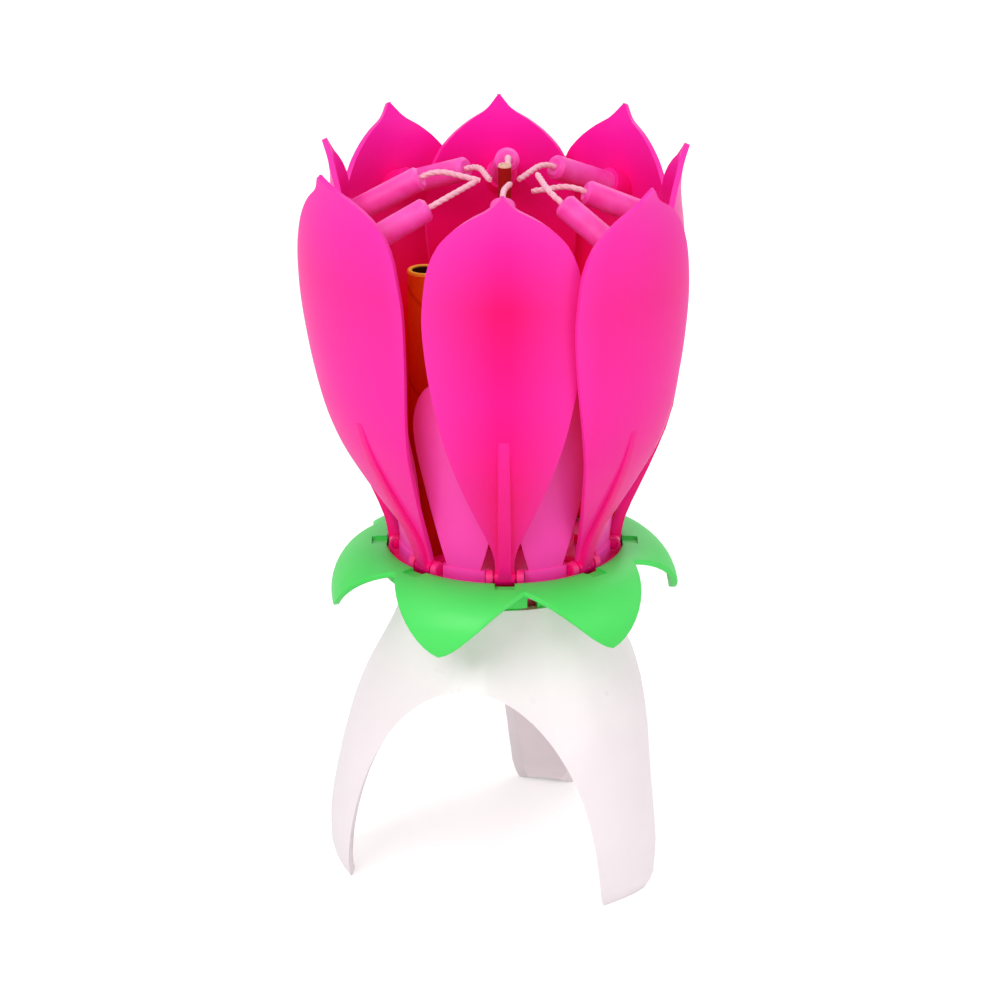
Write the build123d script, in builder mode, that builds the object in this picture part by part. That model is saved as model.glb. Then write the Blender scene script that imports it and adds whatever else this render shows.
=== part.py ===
from build123d import *
import math
import os

os.makedirs("parts", exist_ok=True)

# A lotus-shaped musical candle, in millimetres. The origin is on the flower's axis, in the plane
# of the three feet. +Z is up and the front of the flower faces -Y.

# Driving sizes of the stand
stand_height = 44.7
stand_top_radius = 15.2
stand_foot_radius = 26.2
stand_wall = 1.4
leg_count = 3
first_arch_angle = 15.0

# Driving sizes of the petal hinges
petal_count = 8
hinge_overhang = 0.7
hinge_rise = 1.55
heel_radius = 1.15
heel_width = 3.0
trunnion_radius = 0.7
trunnion_clearance = 0.06
ear_gap = 0.25
ear_thickness = 1.0

# Driving sizes of one outer petal, measured from its hinge line
petal_length = 60.1
petal_half_width = 11.9
petal_bulge = 11.2
petal_thickness = 0.8
rib_width = 1.9
rib_height = 0.9
tongue_length = 5.7
tongue_width = 1.8
tongue_thickness = 1.0

# Driving sizes of the candles and their wicks
candle_radius = 1.8
candle_chamfer = 0.5
candle_fit = 0.03
socket_wall = 0.5
socket_depth = 2.0
socket_floor = 0.6
wick_radius = 0.45
wick_root = 2.5
wick_bend_start = 2.4

# Driving sizes of the inner petals
inner_petal_height = 30.0
inner_petal_half_width = 6.4
inner_petal_bulge = 4.6
inner_petal_thickness = 0.8
inner_ring_inset = 0.2
inner_ring_height = 2.35
inner_floor_thickness = 0.6

# Driving sizes of the calyx
sepal_count = 6
first_sepal_angle = 188.0
sepal_reach = 8.18
sepal_droop = 8.9
sepal_thickness = 0.9
sepal_notch_reach = 1.28
calyx_rim_rise = 1.25
neck_height = 2.4
neck_wall = 1.15
flange_thickness = 0.8
window_width = 2.4
window_angle = 284.0

# Driving sizes of the hub
hub_thickness = 1.55
hub_rim_clearance = 0.15
locating_ring_height = 0.9
locating_ring_wall = 0.8

# Driving sizes of the music housing
housing_base_thickness = 1.2
housing_wall = 1.0
collar_clearance = 0.1
inner_clearance = 0.1
boss_radius = 1.7
boss_inset = 1.5
boss_gap = 1.15
boss_count = 3
first_boss_angle = 30.0
ledge_width = 0.7
ledge_height = 1.0

# Driving sizes of the screws
screw_radius = 0.8
screw_head_radius = 1.5
screw_head_height = 0.8
screw_length = 6.5
screw_clearance = 0.05

# Driving sizes of the electronic pieces
board_thickness = 0.8
board_clearance = 0.2
cell_radius = 5.8
cell_height = 2.05
cell_gap = 0.05
cell_round = 0.2
clip_thickness = 0.25
clip_width = 5.0
clip_clearance = 0.1
sounder_radius = 10.0
sounder_thickness = 0.25
ceramic_radius = 7.0
ceramic_thickness = 0.2
sounder_gap = 1.7
sounder_ledge_width = 1.0
sounder_ledge_height = 1.5
spigot_wall = 1.0
sound_hole_radius = 0.6
sound_hole_offset = 4.0
sound_hole_count = 6
chip_radius = 2.6
chip_height = 0.9
chip_round = 0.4
chip_x = -4.5
chip_y = -3.5
wire_radius = 0.3
ceramic_wire_radius = 6.6
sounder_wire_radius = 8.4

# Driving sizes of the start switch
pin_inset = 5.3
pin_petal = 2
pin_radius = 0.75
pin_clearance = 0.06
pin_hole_clearance = 0.35
pin_travel = 1.3
pin_gap = 0.1
pin_flange_radius = 1.35
pin_flange_thickness = 0.6
pin_nib_radius = 0.45
pin_nib_length = 0.7
spring_radius = 0.85
spring_wire_radius = 0.12
spring_turns = 3
spring_space = 1.3
leaf_thickness = 0.2
leaf_width = 3.0
leaf_length = 3.8
pin_notch = 4.2

# Driving sizes of the fuse and the spark tube
fuse_radius = 0.95
fuse_rise = 47.25
fuse_root = 8.0
fuse_fit = 0.03
post_radius = 2.0
post_height = 11.0
post_flange_radius = 3.4
post_flange_thickness = 0.8
post_spigot_radius = 1.45
tube_radius = 2.5
tube_wall = 0.7
tube_length = 44.85
tube_gap = 0.2
tube_angle = 198.0
tube_fit = 0.05
tube_recess = 0.5
charge_mouth_depth = 4.0

# Clearances that several pieces share
running_gap = 0.35
seat_gap = 0.1
cut_overrun = 5.0

# How each outer petal rests in its loose hinge, in degrees: the angle of its seat, its turn about
# the upright, its lean to the side and its lean outwards. Odd petals lie outside the even ones.
petal_rest = {
    1: (135.0, -5.0, 3.9, 2.6),
    2: (90.0, 0.0, -0.8, -1.6),
    3: (45.0, 2.0, -3.2, 1.7),
    4: (0.0, 0.0, 0.6, -1.4),
    5: (315.0, 0.0, 0.5, 1.9),
    6: (270.0, 0.0, 0.3, -0.6),
    7: (225.0, -4.0, 7.5, 1.0),
    8: (180.0, 0.0, 1.8, -1.6),
}

# How each candle stands in its petal and how its wick bends away, in degrees: the candle's turn
# to the side and its rise, then the wick's turn to the side and its rise.
candle_aim = {
    1: (-11.0, 19.0, 16.0, 0.0),
    2: (-5.0, 28.0, 0.0, 10.0),
    3: (3.0, 22.0, -6.0, -2.0),
    4: (-8.0, 25.0, 28.0, -7.0),
    5: (-20.0, 33.0, 20.0, 12.0),
    6: (0.0, 30.0, 7.0, 3.0),
    7: (28.0, 22.0, 7.0, 15.0),
    8: (9.0, 31.0, 7.0, 0.0),
}

# Single shares: the arches' height of the stand's height and their half width of the foot's
# radius, the candle's and the wick's length of the radius that the candle is seated at, and the
# wick's bend of the room for it
arch_height_share = 0.73826
arch_width_share = 0.74046
candle_length_share = 0.57254
wick_length_share = 0.32444
wick_bend_share = 0.9

# Outlines as shares of the sizes that they follow

# Outer petal: share of its length, share of its bulge on the outer face, share of its half width
petal_shares = [
    (0.000, 0.036, 0.118),
    (0.050, 0.075, 0.128),
    (0.100, 0.183, 0.202),
    (0.160, 0.347, 0.330),
    (0.235, 0.546, 0.487),
    (0.320, 0.747, 0.643),
    (0.410, 0.878, 0.781),
    (0.520, 0.954, 0.903),
    (0.610, 0.988, 0.970),
    (0.690, 1.003, 1.000),
    (0.760, 1.000, 0.974),
    (0.820, 0.982, 0.921),
    (0.875, 0.958, 0.792),
    (0.915, 0.957, 0.603),
    (0.945, 0.975, 0.388),
    (0.968, 1.002, 0.172),
    (1.000, 1.071, 0.012),
]
candle_seat_shares = (0.795, 0.991)

# Rib along the outer face: share of the petal's length, share of its bulge, share of the rib's
# height. The last point lies inside the petal's wall.
rib_shares = [
    (0.063, 0.098, 1.00),
    (0.138, 0.286, 0.90),
    (0.238, 0.554, 0.65),
    (0.346, 0.795, 0.30),
    (0.430, 0.893, -0.40),
]

# Inner petal, from inside the ring upwards: share of its height, share of its bulge on the outer
# face, share of its half width
inner_petal_shares = [
    (-0.040, 0.000, 0.400),
    (0.000, 0.000, 0.410),
    (0.080, 0.040, 0.527),
    (0.240, 0.160, 0.727),
    (0.380, 0.350, 0.850),
    (0.500, 0.540, 0.935),
    (0.620, 0.740, 0.990),
    (0.730, 0.880, 1.000),
    (0.820, 0.960, 0.930),
    (0.890, 0.990, 0.800),
    (0.940, 0.990, 0.640),
    (0.975, 0.970, 0.430),
    (1.000, 0.945, 0.140),
]

# Stand profile, outer face: share of its height, share of its spread
stand_profile_shares = [
    (0.000, 0.918),
    (0.056, 1.000),
    (0.168, 1.000),
    (0.318, 0.900),
    (0.537, 0.680),
    (0.720, 0.364),
    (0.864, 0.082),
    (1.000, 0.000),
]

# Arch outline: share of the arch's height, share of its half width
arch_shares = [
    (0.455, 0.905),
    (0.606, 0.804),
    (0.758, 0.668),
    (0.930, 0.387),
]

# Sepal outline in plan: share of half the pitch from the tip, share of the way from notch to tip
sepal_outline_shares = [
    (0.220, 0.880),
    (0.560, 0.720),
    (0.820, 0.400),
]
sepal_crown_share = 0.42


def upright_plane(angle, radius, height):
    """A plane on the circle of that radius whose X points outwards and Z points up."""
    turn = math.radians(angle)
    outwards = (math.cos(turn), math.sin(turn), 0)
    return Plane(
        origin=(radius * math.cos(turn), radius * math.sin(turn), height),
        x_dir=outwards,
        z_dir=(0, 0, 1),
    )


def facing_plane(angle):
    """A plane through the axis that faces outwards at that angle, with Y up."""
    turn = math.radians(angle)
    return Plane(
        origin=(0, 0, 0),
        x_dir=(-math.sin(turn), math.cos(turn), 0),
        z_dir=(math.cos(turn), math.sin(turn), 0),
    )


def aim(turn, rise):
    """A direction in a petal's own frame: inwards, turned to the side, and rising."""
    side = math.radians(turn)
    up = math.radians(rise)
    return Vector(
        -math.cos(side) * math.cos(up),
        math.sin(side) * math.cos(up),
        math.sin(up),
    )


def save(builder, label):
    builder.part.label = label
    export_step(builder.part, f"parts/{label}.step")


# Heights that follow from the driving sizes
arch_height = arch_height_share * stand_height
hub_bottom = stand_height + neck_height
hub_top = hub_bottom + hub_thickness
hinge_height = hub_top + hinge_rise
calyx_rim_height = hub_top + calyx_rim_rise
sepal_tip_height = calyx_rim_height - sepal_droop
housing_top = hub_bottom
leaf_bottom = hub_bottom - cell_gap - leaf_thickness
flange_top = leaf_bottom - pin_travel - cell_gap
flange_bottom = flange_top - pin_flange_thickness
board_top = flange_bottom - spring_space
board_bottom = board_top - board_thickness
upper_cell_bottom = board_bottom - cell_gap - cell_height
lower_cell_bottom = upper_cell_bottom - cell_height
clip_bottom = lower_cell_bottom - cell_gap - clip_thickness
ceramic_top = clip_bottom - sounder_gap
ceramic_bottom = ceramic_top - ceramic_thickness
sounder_bottom = ceramic_bottom - sounder_thickness
shell_bottom = sounder_bottom - sounder_ledge_height
housing_bottom = shell_bottom - housing_base_thickness
boss_bottom = ceramic_bottom + boss_gap

# Radii that follow from the driving sizes
arch_half_width = arch_width_share * stand_foot_radius
collar_radius = stand_top_radius - stand_wall
housing_radius = collar_radius - collar_clearance
housing_inner_radius = housing_radius - housing_wall
boss_offset = housing_inner_radius - boss_inset
hinge_radius = stand_top_radius + hinge_overhang
pin_offset = hinge_radius - pin_inset
inner_ring_radius = hinge_radius - inner_ring_inset
ring_outer = inner_ring_radius + seat_gap
ring_inner = inner_ring_radius - inner_petal_thickness - seat_gap
tube_offset = ring_inner - tube_radius - tube_gap
neck_radius = housing_radius + neck_wall
inner_floor_top = hub_top + inner_floor_thickness
ear_inner = heel_width / 2 + ear_gap
ear_outer = ear_inner + ear_thickness
hub_radius = math.hypot(hinge_radius + heel_radius, ear_outer)
calyx_rim_radius = hub_radius + hub_rim_clearance
sepal_tip_radius = calyx_rim_radius + sepal_reach
sepal_notch_radius = calyx_rim_radius + sepal_notch_reach
seat_half_width = ear_outer + seat_gap
tongue_bottom = hinge_height - tongue_thickness / 2
seat_angles = [petal_rest[number][0] for number in petal_rest]
pin_angle = petal_rest[pin_petal][0]

# Stand: a bell with three legs between three arches
stand_spread = stand_foot_radius - stand_top_radius
stand_outer = [
    (stand_top_radius + spread * stand_spread, up * stand_height)
    for up, spread in stand_profile_shares
]
stand_inner = [(radius - stand_wall, height) for radius, height in reversed(stand_outer)]
with BuildPart() as stand:
    with BuildSketch(Plane.XZ) as stand_section:
        with BuildLine() as stand_profile:
            outer_face = Spline(*stand_outer)
            top_edge = Line(stand_outer[-1], stand_inner[0])
            inner_face = Spline(*stand_inner)
            foot_edge = Line(stand_inner[-1], stand_outer[0])
        make_face()
    revolve(axis=Axis.Z)
    for number in range(leg_count):
        arch_angle = first_arch_angle + number * 360.0 / leg_count
        with BuildSketch(facing_plane(arch_angle)) as arch_sketch:
            arch_side = [(arch_half_width, 0)]
            for up, out in arch_shares:
                arch_side.append((out * arch_half_width, up * arch_height))
            arch_other_side = [(-x, y) for x, y in reversed(arch_side)]
            with BuildLine() as arch_line:
                arch_curve = Spline(*arch_side, (0, arch_height), *arch_other_side)
                arch_left = Line((-arch_half_width, 0), (-arch_half_width, -cut_overrun))
                arch_base = Line((-arch_half_width, -cut_overrun), (arch_half_width, -cut_overrun))
                arch_right = Line((arch_half_width, -cut_overrun), (arch_half_width, 0))
            make_face()
        extrude(amount=stand_foot_radius + cut_overrun, mode=Mode.SUBTRACT)
save(stand, "stand")

# Calyx: six drooping sepals on a rim, over a neck that sits on the stand's top edge
with BuildPart() as calyx:
    with BuildSketch(Plane.XZ) as sepal_section:
        crown = (
            calyx_rim_radius + sepal_reach * (1 + sepal_crown_share) / 2,
            calyx_rim_height - sepal_droop * sepal_crown_share / 2,
        )
        with BuildLine() as sepal_profile:
            sepal_top = ThreePointArc(
                (calyx_rim_radius, calyx_rim_height), crown, (sepal_tip_radius, sepal_tip_height)
            )
            sepal_under = ThreePointArc(
                (calyx_rim_radius, calyx_rim_height - sepal_thickness),
                (crown[0] - sepal_thickness / 2, crown[1] - sepal_thickness),
                (sepal_tip_radius - sepal_thickness, sepal_tip_height),
            )
            sepal_root = Line(sepal_under @ 0, sepal_top @ 0)
            sepal_end = Line(sepal_top @ 1, sepal_under @ 1)
        make_face()
    revolve(axis=Axis.Z)
    with BuildSketch(Plane.XY.offset(sepal_tip_height - sepal_thickness)) as sepal_plan:
        sepal_pitch = 360.0 / sepal_count
        lobe_points = []
        for number in range(sepal_count):
            tip_angle = first_sepal_angle + number * sepal_pitch
            lobe = [(1.0, 0.0)] + [(share, way) for share, way in reversed(sepal_outline_shares)]
            lobe = [(-share, way) for share, way in lobe] + [(0.0, 1.0)] + sepal_outline_shares
            for share, way in lobe:
                angle = math.radians(tip_angle + share * sepal_pitch / 2)
                radius = sepal_notch_radius + way * (sepal_tip_radius - sepal_notch_radius)
                lobe_points.append((radius * math.cos(angle), radius * math.sin(angle)))
        points_per_lobe = 2 * len(sepal_outline_shares) + 2
        with BuildLine() as sepal_line:
            for number in range(sepal_count):
                start = number * points_per_lobe
                tip = start + len(sepal_outline_shares) + 1
                end = start + points_per_lobe
                closed_points = lobe_points + lobe_points[:1]
                Spline(*closed_points[start : tip + 1])
                Spline(*closed_points[tip : end + 1])
        make_face()
    extrude(amount=sepal_droop + 2 * sepal_thickness, mode=Mode.INTERSECT)
    with BuildSketch(Plane.XZ) as neck_section:
        with BuildLine() as neck_profile:
            neck_points = [
                (housing_radius + seat_gap / 2, stand_height),
                (neck_radius, stand_height),
                (neck_radius, hub_bottom - flange_thickness),
                (calyx_rim_radius + sepal_thickness, hub_bottom - flange_thickness),
                (calyx_rim_radius + sepal_thickness, calyx_rim_height - sepal_thickness / 2),
                (calyx_rim_radius, calyx_rim_height),
                (calyx_rim_radius, hub_bottom),
                (housing_radius + seat_gap / 2, hub_bottom),
            ]
            Polyline(*neck_points, close=True)
        make_face()
    revolve(axis=Axis.Z)
    for angle in seat_angles:
        seat_plane = upright_plane(angle, hinge_radius, hinge_height)
        with Locations(seat_plane.location):
            Box(
                2 * (heel_radius + 2 * running_gap + sepal_thickness),
                heel_width + 2 * running_gap,
                2 * (heel_radius - running_gap),
                mode=Mode.SUBTRACT,
            )
    window_plane = upright_plane(window_angle, neck_radius, stand_height)
    window_height = hub_bottom - flange_thickness - stand_height
    with Locations(window_plane.location):
        Box(2 * neck_wall + cut_overrun, window_width, 2 * window_height, mode=Mode.SUBTRACT)
save(calyx, "calyx")

# Hub: the pink carrier disc with a pair of ears for each petal's trunnions
with BuildPart() as petal_hub:
    with BuildSketch(Plane.XY.offset(hub_bottom)):
        Circle(hub_radius)
    extrude(amount=hub_thickness)
    with BuildSketch(Plane.XY.offset(hub_bottom - locating_ring_height)):
        Circle(housing_inner_radius - inner_clearance)
        Circle(housing_inner_radius - inner_clearance - locating_ring_wall, mode=Mode.SUBTRACT)
    extrude(amount=locating_ring_height)
    for angle in seat_angles:
        seat_plane = upright_plane(angle, hinge_radius, hinge_height)
        for side in (-1, 1):
            ear_plane = Plane(
                origin=seat_plane.from_local_coords((0, side * ear_inner, 0)),
                x_dir=seat_plane.x_dir,
                z_dir=seat_plane.y_dir * side,
            )
            ear_down = ear_plane.to_local_coords(
                seat_plane.from_local_coords((0, side * ear_inner, hub_top - hinge_height))
            )
            with BuildSketch(ear_plane):
                Circle(heel_radius)
                with Locations((0, ear_down.Y / 2)):
                    Rectangle(2 * heel_radius, abs(ear_down.Y))
                Circle(trunnion_radius + trunnion_clearance, mode=Mode.SUBTRACT)
            extrude(amount=ear_thickness)
    with BuildSketch(Plane.XY.offset(hub_top)):
        Circle(post_spigot_radius + fuse_fit)
        with PolarLocations(pin_offset, 1, start_angle=pin_angle):
            Circle(pin_radius + pin_clearance)
        with PolarLocations(boss_offset, boss_count, start_angle=first_boss_angle):
            Circle(screw_radius + screw_clearance)
    extrude(amount=-hub_thickness, mode=Mode.SUBTRACT)
    with BuildSketch(Plane.XY.offset(hub_bottom)):
        with PolarLocations(boss_offset, boss_count, start_angle=first_boss_angle):
            Circle(boss_radius + inner_clearance)
        with PolarLocations(pin_offset, 1, start_angle=pin_angle):
            Rectangle(pin_notch, pin_notch)
    extrude(amount=-locating_ring_height, mode=Mode.SUBTRACT)
    with BuildSketch(Plane.XY.offset(hub_top)):
        with PolarLocations(boss_offset, boss_count, start_angle=first_boss_angle):
            Circle(screw_head_radius + screw_clearance)
    extrude(amount=-(screw_head_height + screw_clearance), mode=Mode.SUBTRACT)
    with BuildSketch(Plane.XY.offset(hub_top)):
        with PolarLocations(tube_offset, 1, start_angle=tube_angle):
            Circle(tube_radius + tube_fit)
    extrude(amount=-tube_recess, mode=Mode.SUBTRACT)
save(petal_hub, "petal_hub")

# Inner petals: a floor and a low ring with eight short petals, between the hinges
inner_base = hub_top + inner_ring_height
with BuildPart() as inner_petal:
    for up, out, wide in inner_petal_shares:
        half = wide * inner_petal_half_width
        outer_radius = inner_ring_radius + out * inner_petal_bulge
        inner_radius = outer_radius - inner_petal_thickness
        outer_edge_x = math.sqrt(outer_radius**2 - half**2)
        inner_edge_x = math.sqrt(inner_radius**2 - half**2)
        with BuildSketch(Plane.XY.offset(inner_base + up * inner_petal_height)):
            with BuildLine():
                ThreePointArc((outer_edge_x, -half), (outer_radius, 0), (outer_edge_x, half))
                Line((outer_edge_x, half), (inner_edge_x, half))
                ThreePointArc((inner_edge_x, half), (inner_radius, 0), (inner_edge_x, -half))
                Line((inner_edge_x, -half), (outer_edge_x, -half))
            make_face()
    loft()

with BuildPart() as inner_petals:
    with BuildSketch(Plane.XY.offset(hub_top)):
        Circle(ring_outer)
    extrude(amount=inner_floor_thickness)
    with BuildSketch(Plane.XY.offset(hub_top)):
        Circle(ring_outer)
        Circle(ring_inner, mode=Mode.SUBTRACT)
    extrude(amount=inner_ring_height)
    for angle in seat_angles:
        between_seats = Location((0, 0, 0), (0, 0, angle + 180.0 / petal_count))
        add(inner_petal.part.moved(between_seats))
        seat_plane = upright_plane(angle, hinge_radius, hub_top)
        with Locations(seat_plane.location):
            Box(
                2 * (heel_radius + seat_gap),
                2 * seat_half_width,
                2 * (inner_ring_height + inner_floor_thickness),
                mode=Mode.SUBTRACT,
            )
    with BuildSketch(Plane.XY.offset(hub_top)):
        Circle(post_spigot_radius + fuse_fit)
        with PolarLocations(pin_offset, 1, start_angle=pin_angle):
            Circle(pin_radius + pin_hole_clearance)
        with PolarLocations(tube_offset, 1, start_angle=tube_angle):
            Circle(tube_radius + tube_fit)
    extrude(amount=inner_floor_thickness, mode=Mode.SUBTRACT)
save(inner_petals, "inner_petals")

# Outer petal, in its own frame: the origin on its hinge line, X outwards, Y along the hinge
petal_section_plane = Plane(origin=(0, 0, 0), x_dir=(1, 0, 0), z_dir=(0, -1, 0))
with BuildPart() as blade:
    for up, out, wide in petal_shares:
        half = wide * petal_half_width
        outer_x = out * petal_bulge
        inner_x = outer_x - petal_thickness
        outer_edge_x = math.sqrt((hinge_radius + outer_x) ** 2 - half**2) - hinge_radius
        inner_edge_x = math.sqrt((hinge_radius + inner_x) ** 2 - half**2) - hinge_radius
        with BuildSketch(Plane.XY.offset(up * petal_length)) as band:
            with BuildLine() as band_line:
                ThreePointArc((outer_edge_x, -half), (outer_x, 0), (outer_edge_x, half))
                Line((outer_edge_x, half), (inner_edge_x, half))
                ThreePointArc((inner_edge_x, half), (inner_x, 0), (inner_edge_x, -half))
                Line((inner_edge_x, -half), (outer_edge_x, -half))
            make_face()
    loft()

# Rib down the middle of the outer face, its back inside the wall
rib_face = [
    (out * petal_bulge + proud * rib_height, up * petal_length) for up, out, proud in rib_shares
]
rib_back = [
    (out * petal_bulge - petal_thickness / 2, up * petal_length) for up, out, proud in rib_shares[:-1]
]
with BuildPart() as petal_rib:
    with BuildSketch(petal_section_plane):
        with BuildLine():
            Spline((heel_radius, 0), *rib_face)
            Polyline(rib_face[-1], *reversed(rib_back), (0, 0), (heel_radius, 0))
        make_face()
    extrude(amount=rib_width / 2, both=True)

# Space inside the petal's wall, which trims the foot of the candle's socket
wall_middle = [
    (out * petal_bulge - petal_thickness / 2, up * petal_length) for up, out, wide in petal_shares
]
with BuildPart() as petal_inside:
    with BuildSketch(petal_section_plane):
        with BuildLine():
            Spline(*wall_middle)
            Polyline(
                wall_middle[-1],
                (-hinge_radius, wall_middle[-1][1]),
                (-hinge_radius, wall_middle[0][1]),
                wall_middle[0],
            )
        make_face()
    revolve(axis=Axis((-hinge_radius, 0, 0), (0, 0, 1)))

seat_share, seat_bulge_share = candle_seat_shares
candle_seat = Vector(
    seat_bulge_share * petal_bulge - petal_thickness,
    0,
    seat_share * petal_length,
)
candle_seat_radius = hinge_radius + candle_seat.X
candle_length = candle_length_share * candle_seat_radius
wick_length = wick_length_share * candle_seat_radius
socket_bore = candle_radius + candle_fit
socket_radius = socket_bore + socket_wall


def make_petal(number):
    """One outer petal with its rib, heel, trunnions, tongue and socket, its candle and its wick."""
    seat_angle, turn, side_lean, out_lean = petal_rest[number]
    candle_turn, candle_rise, wick_turn, wick_rise = candle_aim[number]
    lean = (
        Location((0, 0, 0), (0, 0, turn))
        * Location((0, 0, 0), (side_lean, 0, 0))
        * Location((0, 0, 0), (0, out_lean, 0))
    )
    seat = upright_plane(seat_angle, hinge_radius, hinge_height).location
    along = aim(candle_turn, candle_rise)
    slant = math.sqrt(1 - along.X**2)
    floor_reach = (socket_floor + socket_bore * slant) / abs(along.X)
    candle_reach = floor_reach + seat_gap / 2
    socket_plane = Plane(origin=candle_seat, z_dir=along)
    candle_tip = candle_seat + along * candle_length

    with BuildPart() as socket:
        with BuildSketch(socket_plane.offset(-socket_radius)):
            Circle(socket_radius)
        extrude(amount=socket_radius + floor_reach + socket_depth)
        add(petal_inside.part, mode=Mode.INTERSECT)
        with BuildSketch(socket_plane.offset(floor_reach)):
            Circle(socket_bore)
        extrude(amount=2 * socket_depth, mode=Mode.SUBTRACT)

    with BuildPart() as petal:
        add(blade.part.moved(lean))
        add(petal_rib.part.moved(lean))
        add(socket.part.moved(lean))
        with BuildSketch(petal_section_plane.offset(-heel_width / 2)):
            Circle(heel_radius)
        extrude(amount=heel_width)
        with BuildSketch(petal_section_plane.offset(-ear_outer)):
            Circle(trunnion_radius)
        extrude(amount=2 * ear_outer)
        with Locations((-tongue_length / 2, 0, 0)):
            Box(tongue_length, tongue_width, tongue_thickness)
    petal.part = petal.part.moved(seat)
    save(petal, f"petal_{number}")

    with BuildPart() as candle:
        with BuildSketch(socket_plane.offset(candle_reach)):
            Circle(candle_radius)
        extrude(amount=candle_length - candle_reach)
        chamfer(candle.edges().sort_by(Axis(candle_seat, along))[-1], candle_chamfer)
        with BuildSketch(socket_plane.offset(candle_length)):
            Circle(wick_radius + candle_fit)
        extrude(amount=-(wick_root + seat_gap), mode=Mode.SUBTRACT)
    candle.part = candle.part.moved(seat * lean)
    save(candle, f"candle_{number}")

    wick_start = candle_tip - along * wick_root
    wick_corner = candle_tip + along * wick_bend_start
    wick_end = candle_tip + aim(wick_turn, wick_rise) * wick_length
    bend = math.radians((wick_corner - wick_start).get_angle(wick_end - wick_corner))
    wick_bend_radius = wick_bend_share * wick_bend_start / math.tan(bend / 2)
    with BuildPart() as wick:
        with BuildLine():
            FilletPolyline(wick_start, wick_corner, wick_end, radius=wick_bend_radius)
        with BuildSketch(Plane(origin=wick_start, z_dir=along)):
            Circle(wick_radius)
        sweep()
    wick.part = wick.part.moved(seat * lean)
    save(wick, f"wick_{number}")


for petal_number in petal_rest:
    make_petal(petal_number)

# Fuse post: a socket in the middle of the floor that holds the fuse upright
post_bottom = inner_floor_top
post_top = post_bottom + post_height
with BuildPart() as fuse_post:
    with BuildSketch(Plane.XY.offset(post_bottom)):
        Circle(post_flange_radius)
    extrude(amount=post_flange_thickness)
    with BuildSketch(Plane.XY.offset(post_bottom)):
        Circle(post_radius)
    extrude(amount=post_height)
    with BuildSketch(Plane.XY.offset(post_bottom)):
        Circle(post_spigot_radius)
    extrude(amount=-(hub_thickness + inner_floor_thickness))
    with BuildSketch(Plane.XY.offset(post_top)):
        Circle(fuse_radius + fuse_fit)
    extrude(amount=-fuse_root, mode=Mode.SUBTRACT)
save(fuse_post, "fuse_post")

# Fuse: the dark red stick on the axis
fuse_bottom = post_top - fuse_root + seat_gap / 2
with BuildPart() as fuse:
    with BuildSketch(Plane.XY.offset(fuse_bottom)):
        Circle(fuse_radius)
    extrude(amount=fuse_root - seat_gap / 2 + fuse_rise)
save(fuse, "fuse")

# Spark tube and its charge, beside the fuse
tube_plane = upright_plane(tube_angle, tube_offset, hub_top - tube_recess)
with BuildPart() as spark_tube:
    with BuildSketch(tube_plane):
        Circle(tube_radius)
        Circle(tube_radius - tube_wall, mode=Mode.SUBTRACT)
    extrude(amount=tube_length)
save(spark_tube, "spark_tube")

with BuildPart() as spark_charge:
    with BuildSketch(tube_plane):
        Circle(tube_radius - tube_wall - tube_fit)
    extrude(amount=tube_length - charge_mouth_depth)
save(spark_charge, "spark_charge")

# Music housing: a drum that plugs into the stand's collar
with BuildPart() as housing_shell:
    with BuildSketch(Plane.XY.offset(shell_bottom)):
        Circle(housing_radius)
        Circle(housing_inner_radius, mode=Mode.SUBTRACT)
    extrude(amount=housing_top - shell_bottom)
    with BuildSketch(Plane.XY.offset(board_bottom - ledge_height)):
        Circle(housing_inner_radius + housing_wall / 2)
        Circle(housing_inner_radius - ledge_width, mode=Mode.SUBTRACT)
    extrude(amount=ledge_height)
    with BuildSketch(Plane.XY.offset(boss_bottom)):
        with PolarLocations(boss_offset, boss_count, start_angle=first_boss_angle):
            Circle(boss_radius)
    extrude(amount=housing_top - boss_bottom)
    with BuildSketch(Plane.XY.offset(housing_top)):
        with PolarLocations(boss_offset, boss_count, start_angle=first_boss_angle):
            Circle(screw_radius + screw_clearance)
    extrude(amount=-(screw_length + screw_clearance), mode=Mode.SUBTRACT)
save(housing_shell, "housing_shell")

# Housing base: the drum's floor, with a spigot, the sounder's ledge and its sound holes
with BuildPart() as housing_base:
    with BuildSketch(Plane.XY.offset(housing_bottom)):
        Circle(housing_radius)
    extrude(amount=housing_base_thickness)
    fillet(housing_base.edges().sort_by(Axis.Z)[0], housing_base_thickness / 2)
    with BuildSketch(Plane.XY.offset(shell_bottom)):
        Circle(housing_inner_radius - inner_clearance)
        Circle(housing_inner_radius - inner_clearance - spigot_wall, mode=Mode.SUBTRACT)
        Circle(sounder_radius)
        Circle(sounder_radius - sounder_ledge_width, mode=Mode.SUBTRACT)
    extrude(amount=sounder_ledge_height)
    with BuildSketch(Plane.XY.offset(housing_bottom)):
        with PolarLocations(sound_hole_offset, sound_hole_count):
            Circle(sound_hole_radius)
        Circle(sound_hole_radius)
    extrude(amount=housing_base_thickness, mode=Mode.SUBTRACT)
save(housing_base, "housing_base")

# Sounder: a thin brass disc with a ceramic disc on it
with BuildPart() as sounder_plate:
    with BuildSketch(Plane.XY.offset(sounder_bottom)):
        Circle(sounder_radius)
    extrude(amount=sounder_thickness)
save(sounder_plate, "sounder_plate")

with BuildPart() as sounder_ceramic:
    with BuildSketch(Plane.XY.offset(ceramic_bottom)):
        Circle(ceramic_radius)
    extrude(amount=ceramic_thickness)
save(sounder_ceramic, "sounder_ceramic")

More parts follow.
